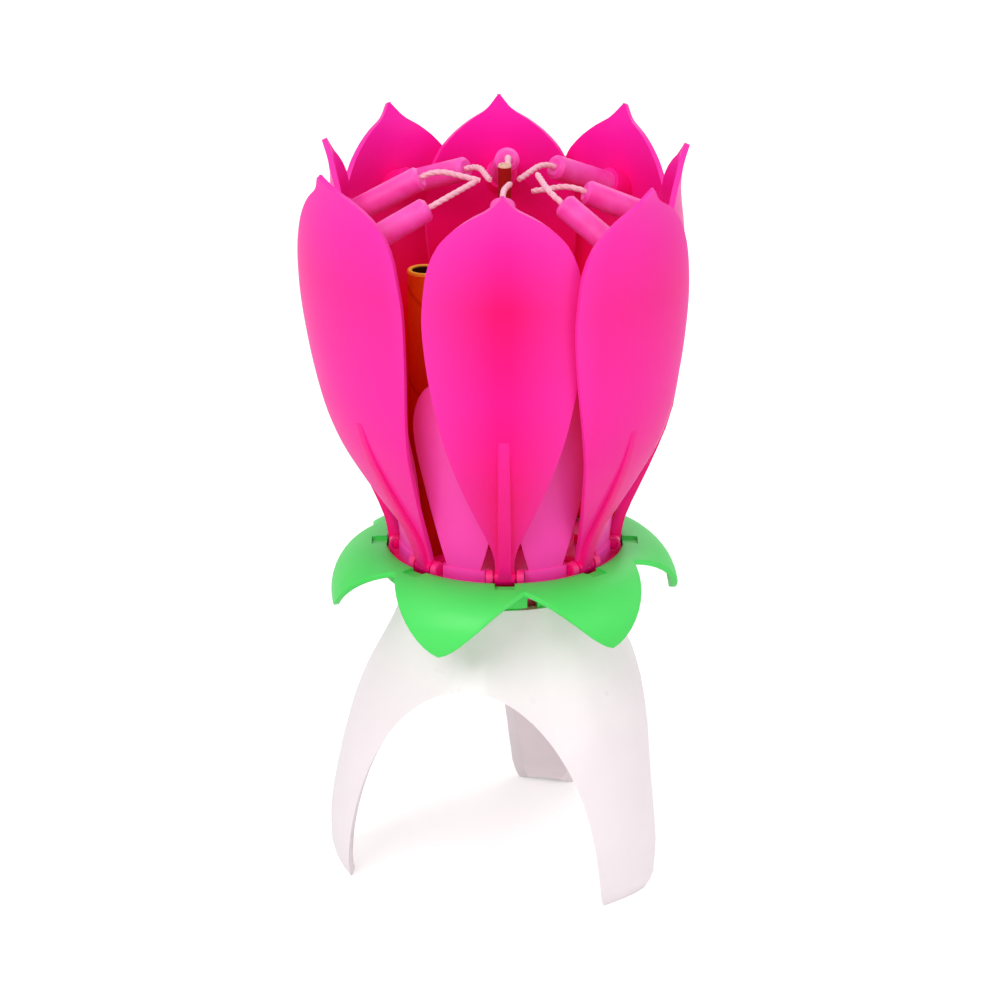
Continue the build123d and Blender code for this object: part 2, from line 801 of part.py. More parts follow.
# Circuit board, resting on the drum's ledge
with BuildPart() as circuit_board:
    with BuildSketch(Plane.XY.offset(board_bottom)):
        Circle(housing_inner_radius - board_clearance)
        with PolarLocations(boss_offset, boss_count, start_angle=first_boss_angle):
            Circle(boss_radius + board_clearance, mode=Mode.SUBTRACT)
    extrude(amount=board_thickness)
save(circuit_board, "circuit_board")

# Music chip: a blob of black resin on the board
with BuildPart() as music_chip:
    with BuildSketch(Plane.XY.offset(board_top)):
        with Locations((chip_x, chip_y)):
            Circle(chip_radius)
    extrude(amount=chip_height)
    fillet(music_chip.edges().sort_by(Axis.Z)[-1], chip_round)
save(music_chip, "music_chip")

# Two button cells under the board, held by a brass clip
for cell_label, cell_bottom in (("cell_lower", lower_cell_bottom), ("cell_upper", upper_cell_bottom)):
    with BuildPart() as cell:
        with BuildSketch(Plane.XY.offset(cell_bottom)):
            Circle(cell_radius)
        extrude(amount=cell_height)
        fillet(cell.edges().sort_by(Axis.Z)[0], cell_round)
    save(cell, cell_label)

clip_inner_half = cell_radius + clip_clearance
clip_outer_half = clip_inner_half + clip_thickness
with BuildPart() as cell_clip:
    with BuildSketch(Plane.XZ):
        with BuildLine():
            Polyline(
                (-clip_outer_half, board_bottom),
                (-clip_outer_half, clip_bottom),
                (clip_outer_half, clip_bottom),
                (clip_outer_half, board_bottom),
                (clip_inner_half, board_bottom),
                (clip_inner_half, clip_bottom + clip_thickness),
                (-clip_inner_half, clip_bottom + clip_thickness),
                (-clip_inner_half, board_bottom),
                close=True,
            )
        make_face()
    extrude(amount=clip_width / 2, both=True)
save(cell_clip, "cell_clip")

# Sounder wires: two short leads from the board down to the sounder
with BuildPart() as sounder_wires:
    with BuildSketch(Plane.XY.offset(ceramic_top)):
        with Locations((0, -ceramic_wire_radius)):
            Circle(wire_radius)
    extrude(amount=board_bottom - ceramic_top)
    with BuildSketch(Plane.XY.offset(ceramic_bottom)):
        with Locations((-sounder_wire_radius, 0)):
            Circle(wire_radius)
    extrude(amount=board_bottom - ceramic_bottom)
save(sounder_wires, "sounder_wires")

# Start pin: pressed down by one petal's tongue, it rises when the petals open
pin_top = tongue_bottom - pin_gap
pin_x = pin_offset * math.cos(math.radians(pin_angle))
pin_y = pin_offset * math.sin(math.radians(pin_angle))
with BuildPart() as start_pin:
    with BuildSketch(Plane.XY.offset(flange_top)):
        with Locations((pin_x, pin_y)):
            Circle(pin_radius)
    extrude(amount=pin_top - flange_top)
    with BuildSketch(Plane.XY.offset(flange_bottom)):
        with Locations((pin_x, pin_y)):
            Circle(pin_flange_radius)
    extrude(amount=pin_flange_thickness)
    with BuildSketch(Plane.XY.offset(flange_bottom)):
        with Locations((pin_x, pin_y)):
            Circle(pin_nib_radius)
    extrude(amount=-pin_nib_length)
save(start_pin, "start_pin")

# Pin spring: a small coil between the board and the pin's flange
spring_bottom = board_top + spring_wire_radius
spring_height = flange_bottom - spring_wire_radius - spring_bottom
with BuildPart() as pin_spring:
    with BuildLine() as coil:
        Helix(
            pitch=spring_height / spring_turns,
            height=spring_height,
            radius=spring_radius,
            center=(pin_x, pin_y, spring_bottom),
        )
    with BuildSketch(Plane(origin=coil.line @ 0, z_dir=coil.line % 0)):
        Circle(spring_wire_radius)
    sweep()
save(pin_spring, "pin_spring")

# Contact leaf: the brass strip that the pin's flange meets when it has risen
leaf_inner_y = pin_y - leaf_length / 2 - leaf_thickness
leaf_outer_y = pin_y + leaf_length / 2
with BuildPart() as contact_leaf:
    with BuildSketch(Plane.YZ.offset(-leaf_width / 2)):
        with BuildLine():
            Polyline(
                (leaf_inner_y, board_top),
                (leaf_inner_y, leaf_bottom + leaf_thickness),
                (leaf_outer_y - leaf_thickness, leaf_bottom + leaf_thickness),
                (leaf_outer_y - leaf_thickness, leaf_bottom),
                (leaf_inner_y + leaf_thickness, leaf_bottom),
                (leaf_inner_y + leaf_thickness, board_top),
                close=True,
            )
        make_face()
    extrude(amount=leaf_width)
    with BuildSketch(Plane.XY.offset(leaf_bottom)):
        with Locations((pin_x, pin_y)):
            Circle(pin_radius + pin_hole_clearance)
    extrude(amount=leaf_thickness, mode=Mode.SUBTRACT)
save(contact_leaf, "contact_leaf")

# Hub screws: three screws from the hub down into the drum's bosses
screw_head_bottom = hub_top - screw_head_height
with BuildPart() as hub_screws:
    with BuildSketch(Plane.XY.offset(screw_head_bottom)):
        with PolarLocations(boss_offset, boss_count, start_angle=first_boss_angle):
            Circle(screw_head_radius)
    extrude(amount=screw_head_height)
    with BuildSketch(Plane.XY.offset(screw_head_bottom)):
        with PolarLocations(boss_offset, boss_count, start_angle=first_boss_angle):
            Circle(screw_radius)
    extrude(amount=-(screw_head_bottom - housing_top + screw_length))
save(hub_screws, "hub_screws")
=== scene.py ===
import math

import bmesh
import bpy
from mathutils import Matrix, Vector


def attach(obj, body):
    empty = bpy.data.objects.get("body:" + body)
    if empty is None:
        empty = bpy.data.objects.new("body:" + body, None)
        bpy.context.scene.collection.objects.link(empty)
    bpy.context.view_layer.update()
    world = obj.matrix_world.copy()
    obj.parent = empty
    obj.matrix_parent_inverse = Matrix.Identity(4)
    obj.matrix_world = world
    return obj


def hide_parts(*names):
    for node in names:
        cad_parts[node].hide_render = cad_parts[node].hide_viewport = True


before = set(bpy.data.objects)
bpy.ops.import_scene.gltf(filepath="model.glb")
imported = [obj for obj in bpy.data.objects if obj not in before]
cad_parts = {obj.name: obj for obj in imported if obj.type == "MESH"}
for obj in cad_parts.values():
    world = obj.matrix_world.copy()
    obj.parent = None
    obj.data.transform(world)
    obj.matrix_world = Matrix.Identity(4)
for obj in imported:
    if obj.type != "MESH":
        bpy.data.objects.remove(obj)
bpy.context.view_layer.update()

# Camera: looks down a little on the front of the flower, from where the photograph was taken.
mm = 0.001
eye_distance = 620 * mm
eye_rise = math.radians(20.5)
look_at = Vector((0, 0, 60 * mm))


def deselect():
    bpy.ops.object.select_all(action="DESELECT")


deselect()
bpy.ops.object.camera_add()
camera = bpy.context.object
camera.name = "camera"
camera.location = look_at + eye_distance * Vector((0, -math.cos(eye_rise), math.sin(eye_rise)))
camera.rotation_euler = (math.radians(90) - eye_rise, 0, 0)
camera.data.sensor_fit = "HORIZONTAL"
camera.data.sensor_width = 36
camera.data.lens = 151.85
camera.data.shift_x = -0.0047
camera.data.shift_y = -0.0247
bpy.context.scene.camera = camera
bpy.context.scene.view_settings.view_transform = "Standard"

# Studio: an even pale world, a large soft key lamp at the front left, a fill at the right and
# a weak one behind. The backdrop is pure white where it is seen or mirrored, and dims as a light.


def feed(node, inputs):
    """Gives each input its value, or links it to the output that a node and a name stand for."""
    for label, given in inputs.items():
        if isinstance(given, tuple) and isinstance(given[0], bpy.types.Node):
            source, output = given
            node.id_data.links.new(source.outputs[output], node.inputs[label])
        else:
            node.inputs[label].default_value = given


def add_node(nodes, kind, inputs=None, **settings):
    """Adds a shader node, makes its settings and feeds its inputs."""
    node = nodes.new("ShaderNode" + kind)
    for label, value in settings.items():
        setattr(node, label, value)
    feed(node, inputs or {})
    return node


def reckon(nodes, operation, *given):
    """The result of a sum on these numbers or outputs."""
    return add_node(nodes, "Math", dict(enumerate(given)), operation=operation), 0


world = bpy.data.worlds.new("studio")
bpy.context.scene.world = world
world.use_nodes = True
world_nodes = world.node_tree.nodes
world_nodes.clear()
light_path = add_node(world_nodes, "LightPath")
even_light = add_node(world_nodes, "Background", {"Color": (1.0, 0.985, 0.99, 1), "Strength": 0.64})
white_backdrop = add_node(world_nodes, "Background", {"Color": (1, 1, 1, 1), "Strength": 1.0})
seen_or_mirrored = reckon(
    world_nodes, "MAXIMUM", (light_path, "Is Camera Ray"), (light_path, "Is Glossy Ray")
)
seen_at_all = reckon(
    world_nodes, "MAXIMUM", seen_or_mirrored, (light_path, "Is Transmission Ray")
)
backdrop = add_node(
    world_nodes, "MixShader", {0: seen_at_all, 1: (even_light, 0), 2: (white_backdrop, 0)}
)
add_node(world_nodes, "OutputWorld", {"Surface": (backdrop, 0)})

# Name, place, size and power of each lamp.
lamps = (
    ("key_lamp", (-0.42, -0.62, 0.66), 0.50, 3.6),
    ("fill_lamp", (0.60, -0.42, 0.36), 0.50, 1.0),
    ("back_lamp", (0.20, 0.60, 0.60), 0.50, 1.2),
)
for lamp_name, lamp_place, lamp_size, lamp_power in lamps:
    bpy.ops.object.light_add(type="AREA", location=lamp_place)
    lamp = bpy.context.object
    lamp.name = lamp_name
    lamp.data.size = lamp_size
    lamp.data.energy = lamp_power
    lamp.rotation_euler = (look_at - Vector(lamp_place)).to_track_quat("-Z", "Y").to_euler()


def finish_for(name):
    """A new node material, its nodes and its main shader."""
    material = bpy.data.materials.new(name)
    material.use_nodes = True
    nodes = material.node_tree.nodes
    return material, nodes, nodes["Principled BSDF"]


deselect()
bpy.ops.mesh.primitive_grid_add(x_subdivisions=4, y_subdivisions=4, size=6.0)
floor = bpy.context.object
floor.name = "floor"
floor_finish, floor_nodes, floor_shader = finish_for("pale_floor")
floor_path = add_node(floor_nodes, "LightPath")
floor_lift = reckon(floor_nodes, "MULTIPLY", (floor_path, "Is Camera Ray"), 0.32)
feed(floor_shader, {
    "Base Color": (0.94, 0.94, 0.94, 1), "Roughness": 0.9, "Specular IOR Level": 0.1,
    "Emission Color": (1, 1, 1, 1), "Emission Strength": floor_lift,
})
floor.data.materials.append(floor_finish)

# Stand: a bell of white glossy plastic, moulded in one piece, with three arches cut out of it
# that leave three legs. The flower's drum plugs into its open top.
stand_height = 44.7 * mm
stand_top_radius = 15.2 * mm
stand_spread = 11.0 * mm
stand_wall = 1.4 * mm
stand_steps = 144
arch_count = 3
first_arch_angle = 15
arch_half_width = 19.4 * mm
arch_height = 33.0 * mm
arch_cutter_radius = 24 * mm
arch_cutter_length = 36 * mm
arch_steps = 128
# Up and out, as shares of the stand's height and spread, from the feet to the top edge.
stand_profile = (
    (0.000, 0.918), (0.028, 0.972), (0.056, 1.000), (0.110, 1.006), (0.168, 1.000), (0.240, 0.960),
    (0.318, 0.900), (0.400, 0.826), (0.470, 0.754), (0.537, 0.680), (0.600, 0.591), (0.660, 0.489),
    (0.720, 0.364), (0.770, 0.258), (0.820, 0.158), (0.864, 0.082), (0.910, 0.031), (0.955, 0.006),
    (1.000, 0.000),
)


def choose(piece):
    """Makes this piece the only one that is selected, and the active one."""
    deselect()
    piece.select_set(True)
    bpy.context.view_layer.objects.active = piece


def use(piece, kind, **settings):
    """Adds a modifier with these settings and applies it."""
    modifier = piece.modifiers.new(kind.lower(), kind)
    for key, value in settings.items():
        setattr(modifier, key, value)
    bpy.context.view_layer.objects.active = piece
    bpy.ops.object.modifier_apply(modifier=modifier.name)


def edit(kind="VERT"):
    """Opens the active piece in edit mode, with all of it selected."""
    bpy.ops.object.mode_set(mode="EDIT")
    bpy.ops.mesh.select_mode(type=kind)
    bpy.ops.mesh.select_all(action="SELECT")


def close_up():
    """Turns all faces of the open piece outwards and leaves edit mode."""
    bpy.ops.mesh.select_all(action="SELECT")
    bpy.ops.mesh.normals_make_consistent(inside=False)
    bpy.ops.object.mode_set(mode="OBJECT")


def turned_wall(name, rings, steps, centre=(0, 0)):
    """An open wall of revolution, drawn up ring by ring from a circle."""
    deselect()
    first_radius, first_height = rings[0]
    bpy.ops.mesh.primitive_circle_add(
        vertices=steps, radius=first_radius, fill_type="NOTHING", location=(*centre, first_height)
    )
    wall = bpy.context.object
    wall.name = name
    bpy.ops.object.transform_apply(location=True, rotation=True, scale=True)
    edit()
    last_radius, last_height = first_radius, first_height
    for radius, height in rings[1:]:
        bpy.ops.mesh.extrude_edges_move(
            TRANSFORM_OT_translate={"value": (0, 0, height - last_height)}
        )
        share = radius / last_radius
        bpy.ops.transform.resize(value=(share, share, 1), center_override=(*centre, height))
        last_radius, last_height = radius, height
    close_up()
    return wall


def smooth_by_angle(piece, degrees):
    """Smooths the edges that turn by less than this angle."""
    choose(piece)
    bpy.ops.object.shade_smooth_by_angle(angle=math.radians(degrees))


def soften(piece, width, segments, degrees=30):
    """Rounds the edges that turn by more than this angle."""
    use(
        piece, "BEVEL", width=width, segments=segments, limit_method="ANGLE",
        angle_limit=math.radians(degrees),
    )


def out_from_axis(degrees, radius, height):
    """The place at this angle, radius and height round the axis, facing outwards."""
    turn = Matrix.Rotation(math.radians(degrees), 4, "Z")
    return turn @ Matrix.Translation((radius, 0, height))


def settle(piece, place):
    """Moves a piece by this matrix and leaves its object at the origin."""
    choose(piece)
    piece.matrix_world = place
    bpy.ops.object.transform_apply(location=True, rotation=True, scale=True)


def give_finish(piece, finish):
    """Makes this the piece's only material."""
    piece.data.materials.clear()
    piece.data.materials.append(finish)


def paint(red, green, blue):
    """A colour as it is seen, 0 to 255, as the linear values that a material takes."""
    shares = []
    for value in (red, green, blue):
        seen = value / 255
        shares.append(seen / 12.92 if seen <= 0.04045 else ((seen + 0.055) / 1.055) ** 2.4)
    return (*shares, 1.0)


def new_group(name, takes, gives):
    """A node group with these inputs and outputs, its nodes, its input node and its output node."""
    group = bpy.data.node_groups.new(name, "ShaderNodeTree")
    for label, kind, value in takes:
        socket = group.interface.new_socket(
            name=label, in_out="INPUT", socket_type="NodeSocket" + kind
        )
        socket.default_value = value
    for label, kind in gives:
        group.interface.new_socket(name=label, in_out="OUTPUT", socket_type="NodeSocket" + kind)
    nodes = group.nodes
    return group, nodes, nodes.new("NodeGroupInput"), nodes.new("NodeGroupOutput")


def colour_mix(nodes, share, first, second):
    """Mixes two colours. They are the Mix node's inputs 6 and 7, and its output 2."""
    return add_node(nodes, "Mix", {0: share, 6: first, 7: second}, data_type="RGBA"), 2


def grain_group():
    """Moulded plastic: a faint mottle in the colour, uneven gloss and a fine skin."""
    group, nodes, given, result = new_group(
        "moulded_skin",
        (
            ("Colour", "Color", (1, 1, 1, 1)),
            ("Other colour", "Color", (1, 1, 1, 1)),
            ("Mottle size", "Float", 90.0),
            ("Mottle share", "Float", 0.5),
            ("Low gloss", "Float", 0.30),
            ("High gloss", "Float", 0.42),
            ("Skin size", "Float", 2200.0),
        ),
        (("Colour", "Color"), ("Roughness", "Float"), ("Height", "Float")),
    )
    place = add_node(nodes, "TexCoord"), "Object"
    mottle = add_node(
        nodes, "TexNoise", {"Vector": place, "Scale": (given, "Mottle size"), "Detail": 3}
    )
    skin = add_node(
        nodes, "TexNoise", {"Vector": place, "Scale": (given, "Skin size"), "Detail": 2}
    )
    spread = add_node(nodes, "MapRange", {
        "Value": (mottle, "Fac"), "From Min": 0.35, "From Max": 0.65,
        "To Max": (given, "Mottle share"),
    })
    gloss = add_node(nodes, "MapRange", {
        "Value": (mottle, "Fac"), "To Min": (given, "Low gloss"), "To Max": (given, "High gloss"),
    })
    feed(result, {
        "Colour": colour_mix(
            nodes, (spread, "Result"), (given, "Colour"), (given, "Other colour")
        ),
        "Roughness": (gloss, "Result"),
        "Height": (skin, "Fac"),
    })
    return group


moulded_skin = grain_group()


def moulded_finish(
    name, colour, other, low=0.30, high=0.42, coat=0.0, depth=0.02, mottle=90.0, specular=0.5
):
    """A moulded plastic or pressed finish built on the shared skin."""
    material, nodes, shader = finish_for(name)
    skin_inputs = {
        "Colour": colour, "Other colour": other, "Low gloss": low, "High gloss": high,
        "Mottle size": mottle,
    }
    skin = add_node(nodes, "Group", skin_inputs, node_tree=moulded_skin, name="skin")
    bump = add_node(
        nodes, "Bump", {"Strength": 0.15, "Distance": depth * mm, "Height": (skin, "Height")}
    )
    feed(shader, {
        "Base Color": (skin, "Colour"), "Roughness": (skin, "Roughness"),
        "Normal": (bump, "Normal"), "Specular IOR Level": specular, "Coat Weight": coat,
        "Coat Roughness": 0.12,
    })
    return material


white_plastic = moulded_finish(
    "white_plastic", paint(248, 238, 242), paint(242, 231, 235), low=0.24, high=0.34, coat=0.25
)
stand_rings = [
    (stand_top_radius + out * stand_spread, up * stand_height) for up, out in stand_profile
]
stand = turned_wall("stand_bell", stand_rings, stand_steps)
use(stand, "SOLIDIFY", thickness=stand_wall, offset=-1, use_even_offset=False)
for number in range(arch_count):
    arch_angle = first_arch_angle + 360 / arch_count * number
    deselect()
    bpy.ops.mesh.primitive_cylinder_add(vertices=arch_steps, radius=1, depth=1)
    arch = bpy.context.object
    lying = Matrix.Rotation(math.radians(90), 4, "Y")
    arch_size = Matrix.Diagonal((arch_height, arch_half_width, arch_cutter_length, 1))
    settle(arch, out_from_axis(arch_angle, arch_cutter_radius, 0) @ lying @ arch_size)
    use(stand, "BOOLEAN", object=arch, operation="DIFFERENCE", solver="EXACT")
    bpy.data.objects.remove(arch)
soften(stand, 0.28 * mm, segments=3, degrees=50)
smooth_by_angle(stand, 40)
use(stand, "WEIGHTED_NORMAL", keep_sharp=True)
give_finish(stand, white_plastic)
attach(stand, "stand")
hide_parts("stand")

# Drum and its insides: a reddish brown plastic drum with a base, the circuit board, two button
# cells in a brass clip, the sounder, the start switch and three screws that hold it to the hub.
# The stand hides all of it but the bit of drum behind the small window in the calyx's neck.
drum_plastic = moulded_finish("drum_plastic", paint(176, 50, 52), paint(158, 42, 44))


def metal_finish(name, colour, rough, grain):
    """Plated or rolled metal with fine upright streaks in its gloss."""
    material, nodes, shader = finish_for(name)
    streak_depth = 0.15
    place = add_node(nodes, "TexCoord")
    stretch = add_node(nodes, "Mapping", {"Vector": (place, "Object"), "Scale": (1, 1, 12)})
    noise = add_node(nodes, "TexNoise", {"Vector": (stretch, "Vector"), "Scale": grain})
    spread = add_node(nodes, "MapRange", {
        "Value": (noise, "Fac"), "To Min": rough, "To Max": rough + streak_depth,
    })
    feed(shader, {"Base Color": colour, "Metallic": 1.0, "Roughness": (spread, "Result")})
    return material


steel = metal_finish("plated_steel", paint(196, 196, 200), 0.25, 900)
brass = metal_finish("thin_brass", paint(206, 172, 96), 0.28, 700)
ceramic = moulded_finish(
    "white_ceramic", paint(228, 225, 214), paint(214, 210, 198), low=0.5, high=0.6
)
laminate = moulded_finish(
    "green_laminate", paint(26, 92, 52), paint(20, 76, 44), low=0.35, high=0.5, mottle=400
)
resin = moulded_finish("black_resin", paint(20, 20, 22), paint(30, 30, 32), low=0.2, high=0.35)
wire_cover = moulded_finish(
    "red_wire_cover", paint(186, 18, 20), paint(160, 14, 16), low=0.4, high=0.5
)
drum_finishes = (
    (drum_plastic, ("housing_shell", "housing_base", "start_pin")),
    (steel, ("cell_lower", "cell_upper", "pin_spring", "hub_screws")),
    (brass, ("sounder_plate", "cell_clip", "contact_leaf")),
    (ceramic, ("sounder_ceramic",)),
    (laminate, ("circuit_board",)),
    (resin, ("music_chip",)),
    (wire_cover, ("sounder_wires",)),
)
for finish, node_names in drum_finishes:
    for node_name in node_names:
        give_finish(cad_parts[node_name], finish)

# Hub: the pink carrier disc with a pair of ears for each petal's trunnions, and the post that
# holds the fuse. Both are moulded plastic, and they keep the shape of their solids.
hub_plastic = moulded_finish(
    "hub_plastic", paint(250, 34, 132), paint(236, 16, 112), low=0.34, high=0.46
)
for node_name in ("petal_hub", "fuse_post"):
    give_finish(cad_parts[node_name], hub_plastic)

# Outer petals: eight long pink petals, each one thin moulding with a rib up its back, a heel
# with two trunnions that turn in the hub's ears, a tongue that reaches in under the hinge, and a
# socket for its candle. They are alike, and lean a little differently in their loose hinges.
hinge_radius = 15.9 * mm
hinge_height = 50.2 * mm
heel_radius = 1.15 * mm
heel_width = 3.0 * mm
trunnion_radius = 0.7 * mm
trunnion_reach = 2.75 * mm
petal_length = 60.1 * mm
petal_half_width = 11.4 * mm
petal_bulge = 11.2 * mm
petal_wall = 0.8 * mm
rib_half_width = 0.95 * mm
rib_rise = 0.9 * mm
rib_front, rib_back = 1.15 * mm, -0.75 * mm
rib_slimmest = 0.80
rib_depth_in_wall = 0.6 * petal_wall
tongue_size = (5.7 * mm, 1.8 * mm, 1.0 * mm)
edge_round = 0.22 * mm
# Up, out and half across, as shares of a petal's length, bulge and half width.
petal_shares = (
    (0.000, 0.036, 0.118), (0.050, 0.075, 0.128), (0.100, 0.183, 0.202), (0.160, 0.347, 0.330),
    (0.235, 0.546, 0.487), (0.320, 0.747, 0.643), (0.410, 0.878, 0.781), (0.520, 0.954, 0.903),
    (0.610, 0.988, 0.970), (0.690, 1.003, 1.000), (0.760, 1.000, 0.974), (0.820, 0.982, 0.921),
    (0.875, 0.958, 0.792), (0.915, 0.957, 0.603), (0.945, 0.975, 0.388), (0.968, 1.002, 0.172),
    (1.000, 1.071, 0.012),
)
# Each petal's place round the axis, its turn, and how it leans to the side and out, in degrees.
petal_rest = {
    1: (135.0, -5.0, 3.9, 2.6),
    2: (90.0, 0.0, -0.8, -1.6),
    3: (45.0, 2.0, -3.2, 1.7),
    4: (0.0, 0.0, 0.6, -1.4),
    5: (315.0, 0.0, 0.5, 1.9),
    6: (270.0, 0.0, 0.3, -0.6),
    7: (225.0, -4.0, 7.5, 1.0),
    8: (180.0, 0.0, 1.8, -1.6),
}
# How pale each petal is painted: a painted highlight, most on the petals at the front left and
# front right, towards the key and fill lamps.
petal_painted_light = {1: 0.2, 2: 0.2, 3: 0.2, 4: 0.3, 5: 0.5, 6: 0.0, 7: 0.6, 8: 0.3}
# Each candle's turn to the side and rise, and its wick's, in degrees.
candle_aim = {
    1: (-11.0, 19.0, 16.0, 0.0),
    2: (-5.0, 28.0, 0.0, 10.0),
    3: (3.0, 22.0, -6.0, -2.0),
    4: (-8.0, 25.0, 28.0, -7.0),
    5: (-20.0, 33.0, 20.0, 12.0),
    6: (0.0, 30.0, 7.0, 3.0),
    7: (28.0, 22.0, 7.0, 15.0),
    8: (9.0, 31.0, 7.0, 0.0),
}


def smooth_between(table, place, column):
    """A table's value at a place, on the smooth curve through its rows."""
    last = len(table) - 1
    row = 0
    while row < last - 1 and table[row + 1][0] < place:
        row += 1
    x1, y1 = table[row][0], table[row][column]
    x2, y2 = table[row + 1][0], table[row + 1][column]
    before = table[max(row - 1, 0)]
    after = table[min(row + 2, last)]
    slope1 = (y2 - before[column]) / (x2 - before[0])
    slope2 = (after[column] - y1) / (after[0] - x1)
    step = x2 - x1
    t = (place - x1) / step
    return (
        (2 * t**3 - 3 * t**2 + 1) * y1
        + (t**3 - 2 * t**2 + t) * step * slope1
        + (3 * t**2 - 2 * t**3) * y2
        + (t**3 - t**2) * step * slope2
    )


nearly = 0.01 * mm
same_place = 0.001 * mm
form_steps = 160


def pick(piece, wanted):
    """In edit mode, selects the vertices that pass the test."""
    shape = bmesh.from_edit_mesh(piece.data)
    for vertex in shape.verts:
        vertex.select = wanted(vertex)
    shape.select_flush_mode()
    bmesh.update_edit_mesh(piece.data)


def petal_sheet(name, table, places, columns, length, half_width, bulge, root_radius):
    """A flat grid drawn out row by row to a petal's outline, then laid on its turned form."""
    form_rings = []
    for place in places:
        radius = root_radius + smooth_between(table, place, 1) * bulge
        form_rings.append((radius, place * length))
    form = turned_wall(name + "_form", form_rings, form_steps, (-root_radius, 0))
    deselect()
    bpy.ops.mesh.primitive_grid_add(
        x_subdivisions=columns, y_subdivisions=len(places) - 1, size=2, calc_uvs=True
    )
    sheet = bpy.context.object
    sheet.name = name
    sheet.rotation_euler = (math.radians(90), 0, math.radians(90))
    bpy.ops.object.transform_apply(location=True, rotation=True, scale=True)
    edit()
    row_gap = 2 / (len(places) - 1)
    for row in reversed(range(len(places))):
        flat_height = -1 + row * row_gap
        pick(
            sheet,
            lambda vertex: abs(vertex.co.z - flat_height) < row_gap / 10
            and abs(vertex.co.x) < nearly,
        )
        across = smooth_between(table, places[row], 2) * half_width
        out = smooth_between(table, places[row], 1) * bulge
        bpy.ops.transform.resize(value=(1, across, 1), center_override=(0, 0, flat_height))
        bpy.ops.transform.translate(value=(out, 0, places[row] * length - flat_height))
    bpy.ops.object.mode_set(mode="OBJECT")
    across_share = sheet.data.attributes.new("across", "FLOAT", "POINT")
    for vertex in sheet.data.vertices:
        widest = smooth_between(table, vertex.co.z / length, 2) * half_width
        across_share.data[vertex.index].value = abs(vertex.co.y) / widest
    use(
        sheet, "SHRINKWRAP", target=form, wrap_method="PROJECT", use_project_x=True,
        use_negative_direction=True, use_positive_direction=True,
    )
    bpy.data.objects.remove(form)
    return sheet


petal_places = [row / 40 for row in range(36)]
petal_places += [0.885, 0.902, 0.918, 0.932, 0.944, 0.954, 0.962, 0.969, 0.976, 0.984, 0.992, 1.0]
blade = petal_sheet(
    "petal_blade", petal_shares, petal_places, 24, petal_length, petal_half_width, petal_bulge,
    hinge_radius,
)
use(blade, "SOLIDIFY", thickness=petal_wall, offset=-1, use_even_offset=False)
soften(blade, edge_round, segments=3, degrees=50)


def joined(pieces):
    """Joins the pieces into the first one."""
    choose(pieces[0])
    for piece in pieces:
        piece.select_set(True)
    if len(pieces) > 1:
        bpy.ops.object.join()
    return bpy.context.object


def box_out_from_axis(degrees, radius, height, size):
    """A box that faces outwards, with its middle at this angle, radius and height."""
    deselect()
    bpy.ops.mesh.primitive_cube_add(size=1)
    box = bpy.context.object
    settle(box, out_from_axis(degrees, radius, height) @ Matrix.Diagonal((*size, 1)))
    return box


def rod(name, radius, start, end, bevel, steps=32):
    """A round rod between two points, with soft rims where a bevel is given."""
    deselect()
    along = Vector(end) - Vector(start)
    bpy.ops.mesh.primitive_cylinder_add(vertices=steps, radius=radius, depth=along.length)
    piece = bpy.context.object
    piece.name = name
    piece.rotation_mode = "QUATERNION"
    piece.rotation_quaternion = along.to_track_quat("Z", "Y")
    piece.location = (Vector(start) + Vector(end)) / 2
    bpy.ops.object.transform_apply(location=True, rotation=True, scale=True)
    if bevel > 0:
        soften(piece, bevel, segments=2)
    return piece


# The rib starts at the heel and is drawn up the petal's back, fading into its wall. Each row is
# how far up, and how much of its rise is left there.
rib_stations = (
    (0.040, 1.00), (0.063, 1.00), (0.100, 0.97), (0.138, 0.92), (0.190, 0.80), (0.238, 0.67),
    (0.290, 0.50), (0.346, 0.30), (0.390, 0.10), (0.430, -0.35),
)
deselect()
bpy.ops.mesh.primitive_plane_add(size=1)
rib = bpy.context.object
rib.name = "petal_rib"
rib.scale = (rib_front - rib_back, 2 * rib_half_width, 1)
rib.location = ((rib_front + rib_back) / 2, 0, 0)
bpy.ops.object.transform_apply(location=True, rotation=True, scale=True)
edit("FACE")
rib_level, rib_width = 0.0, 1.0
for place, proud in rib_stations:
    wall_out = smooth_between(petal_shares, place, 1) * petal_bulge
    front = wall_out + proud * rib_rise
    back = wall_out - rib_depth_in_wall
    slim = rib_slimmest + (1 - rib_slimmest) * max(proud, 0)
    level = place * petal_length
    bpy.ops.mesh.extrude_region_move(TRANSFORM_OT_translate={"value": (0, 0, level - rib_level)})
    old_middle = (rib_front + rib_back) / 2
    new_middle = (front + back) / 2
    bpy.ops.transform.resize(
        value=((front - back) / (rib_front - rib_back), slim / rib_width, 1),
        center_override=(old_middle, 0, level),
    )
    bpy.ops.transform.translate(value=(new_middle - old_middle, 0, 0))
    rib_front, rib_back, rib_level, rib_width = front, back, level, slim
close_up()
soften(rib, edge_round, segments=2, degrees=40)


def mark(piece, label, value):
    """Gives every vertex of the piece this value, for its material to read."""
    marks = piece.data.attributes.new(label, "FLOAT", "POINT")
    marks.data.foreach_set("value", [value] * len(piece.data.vertices))
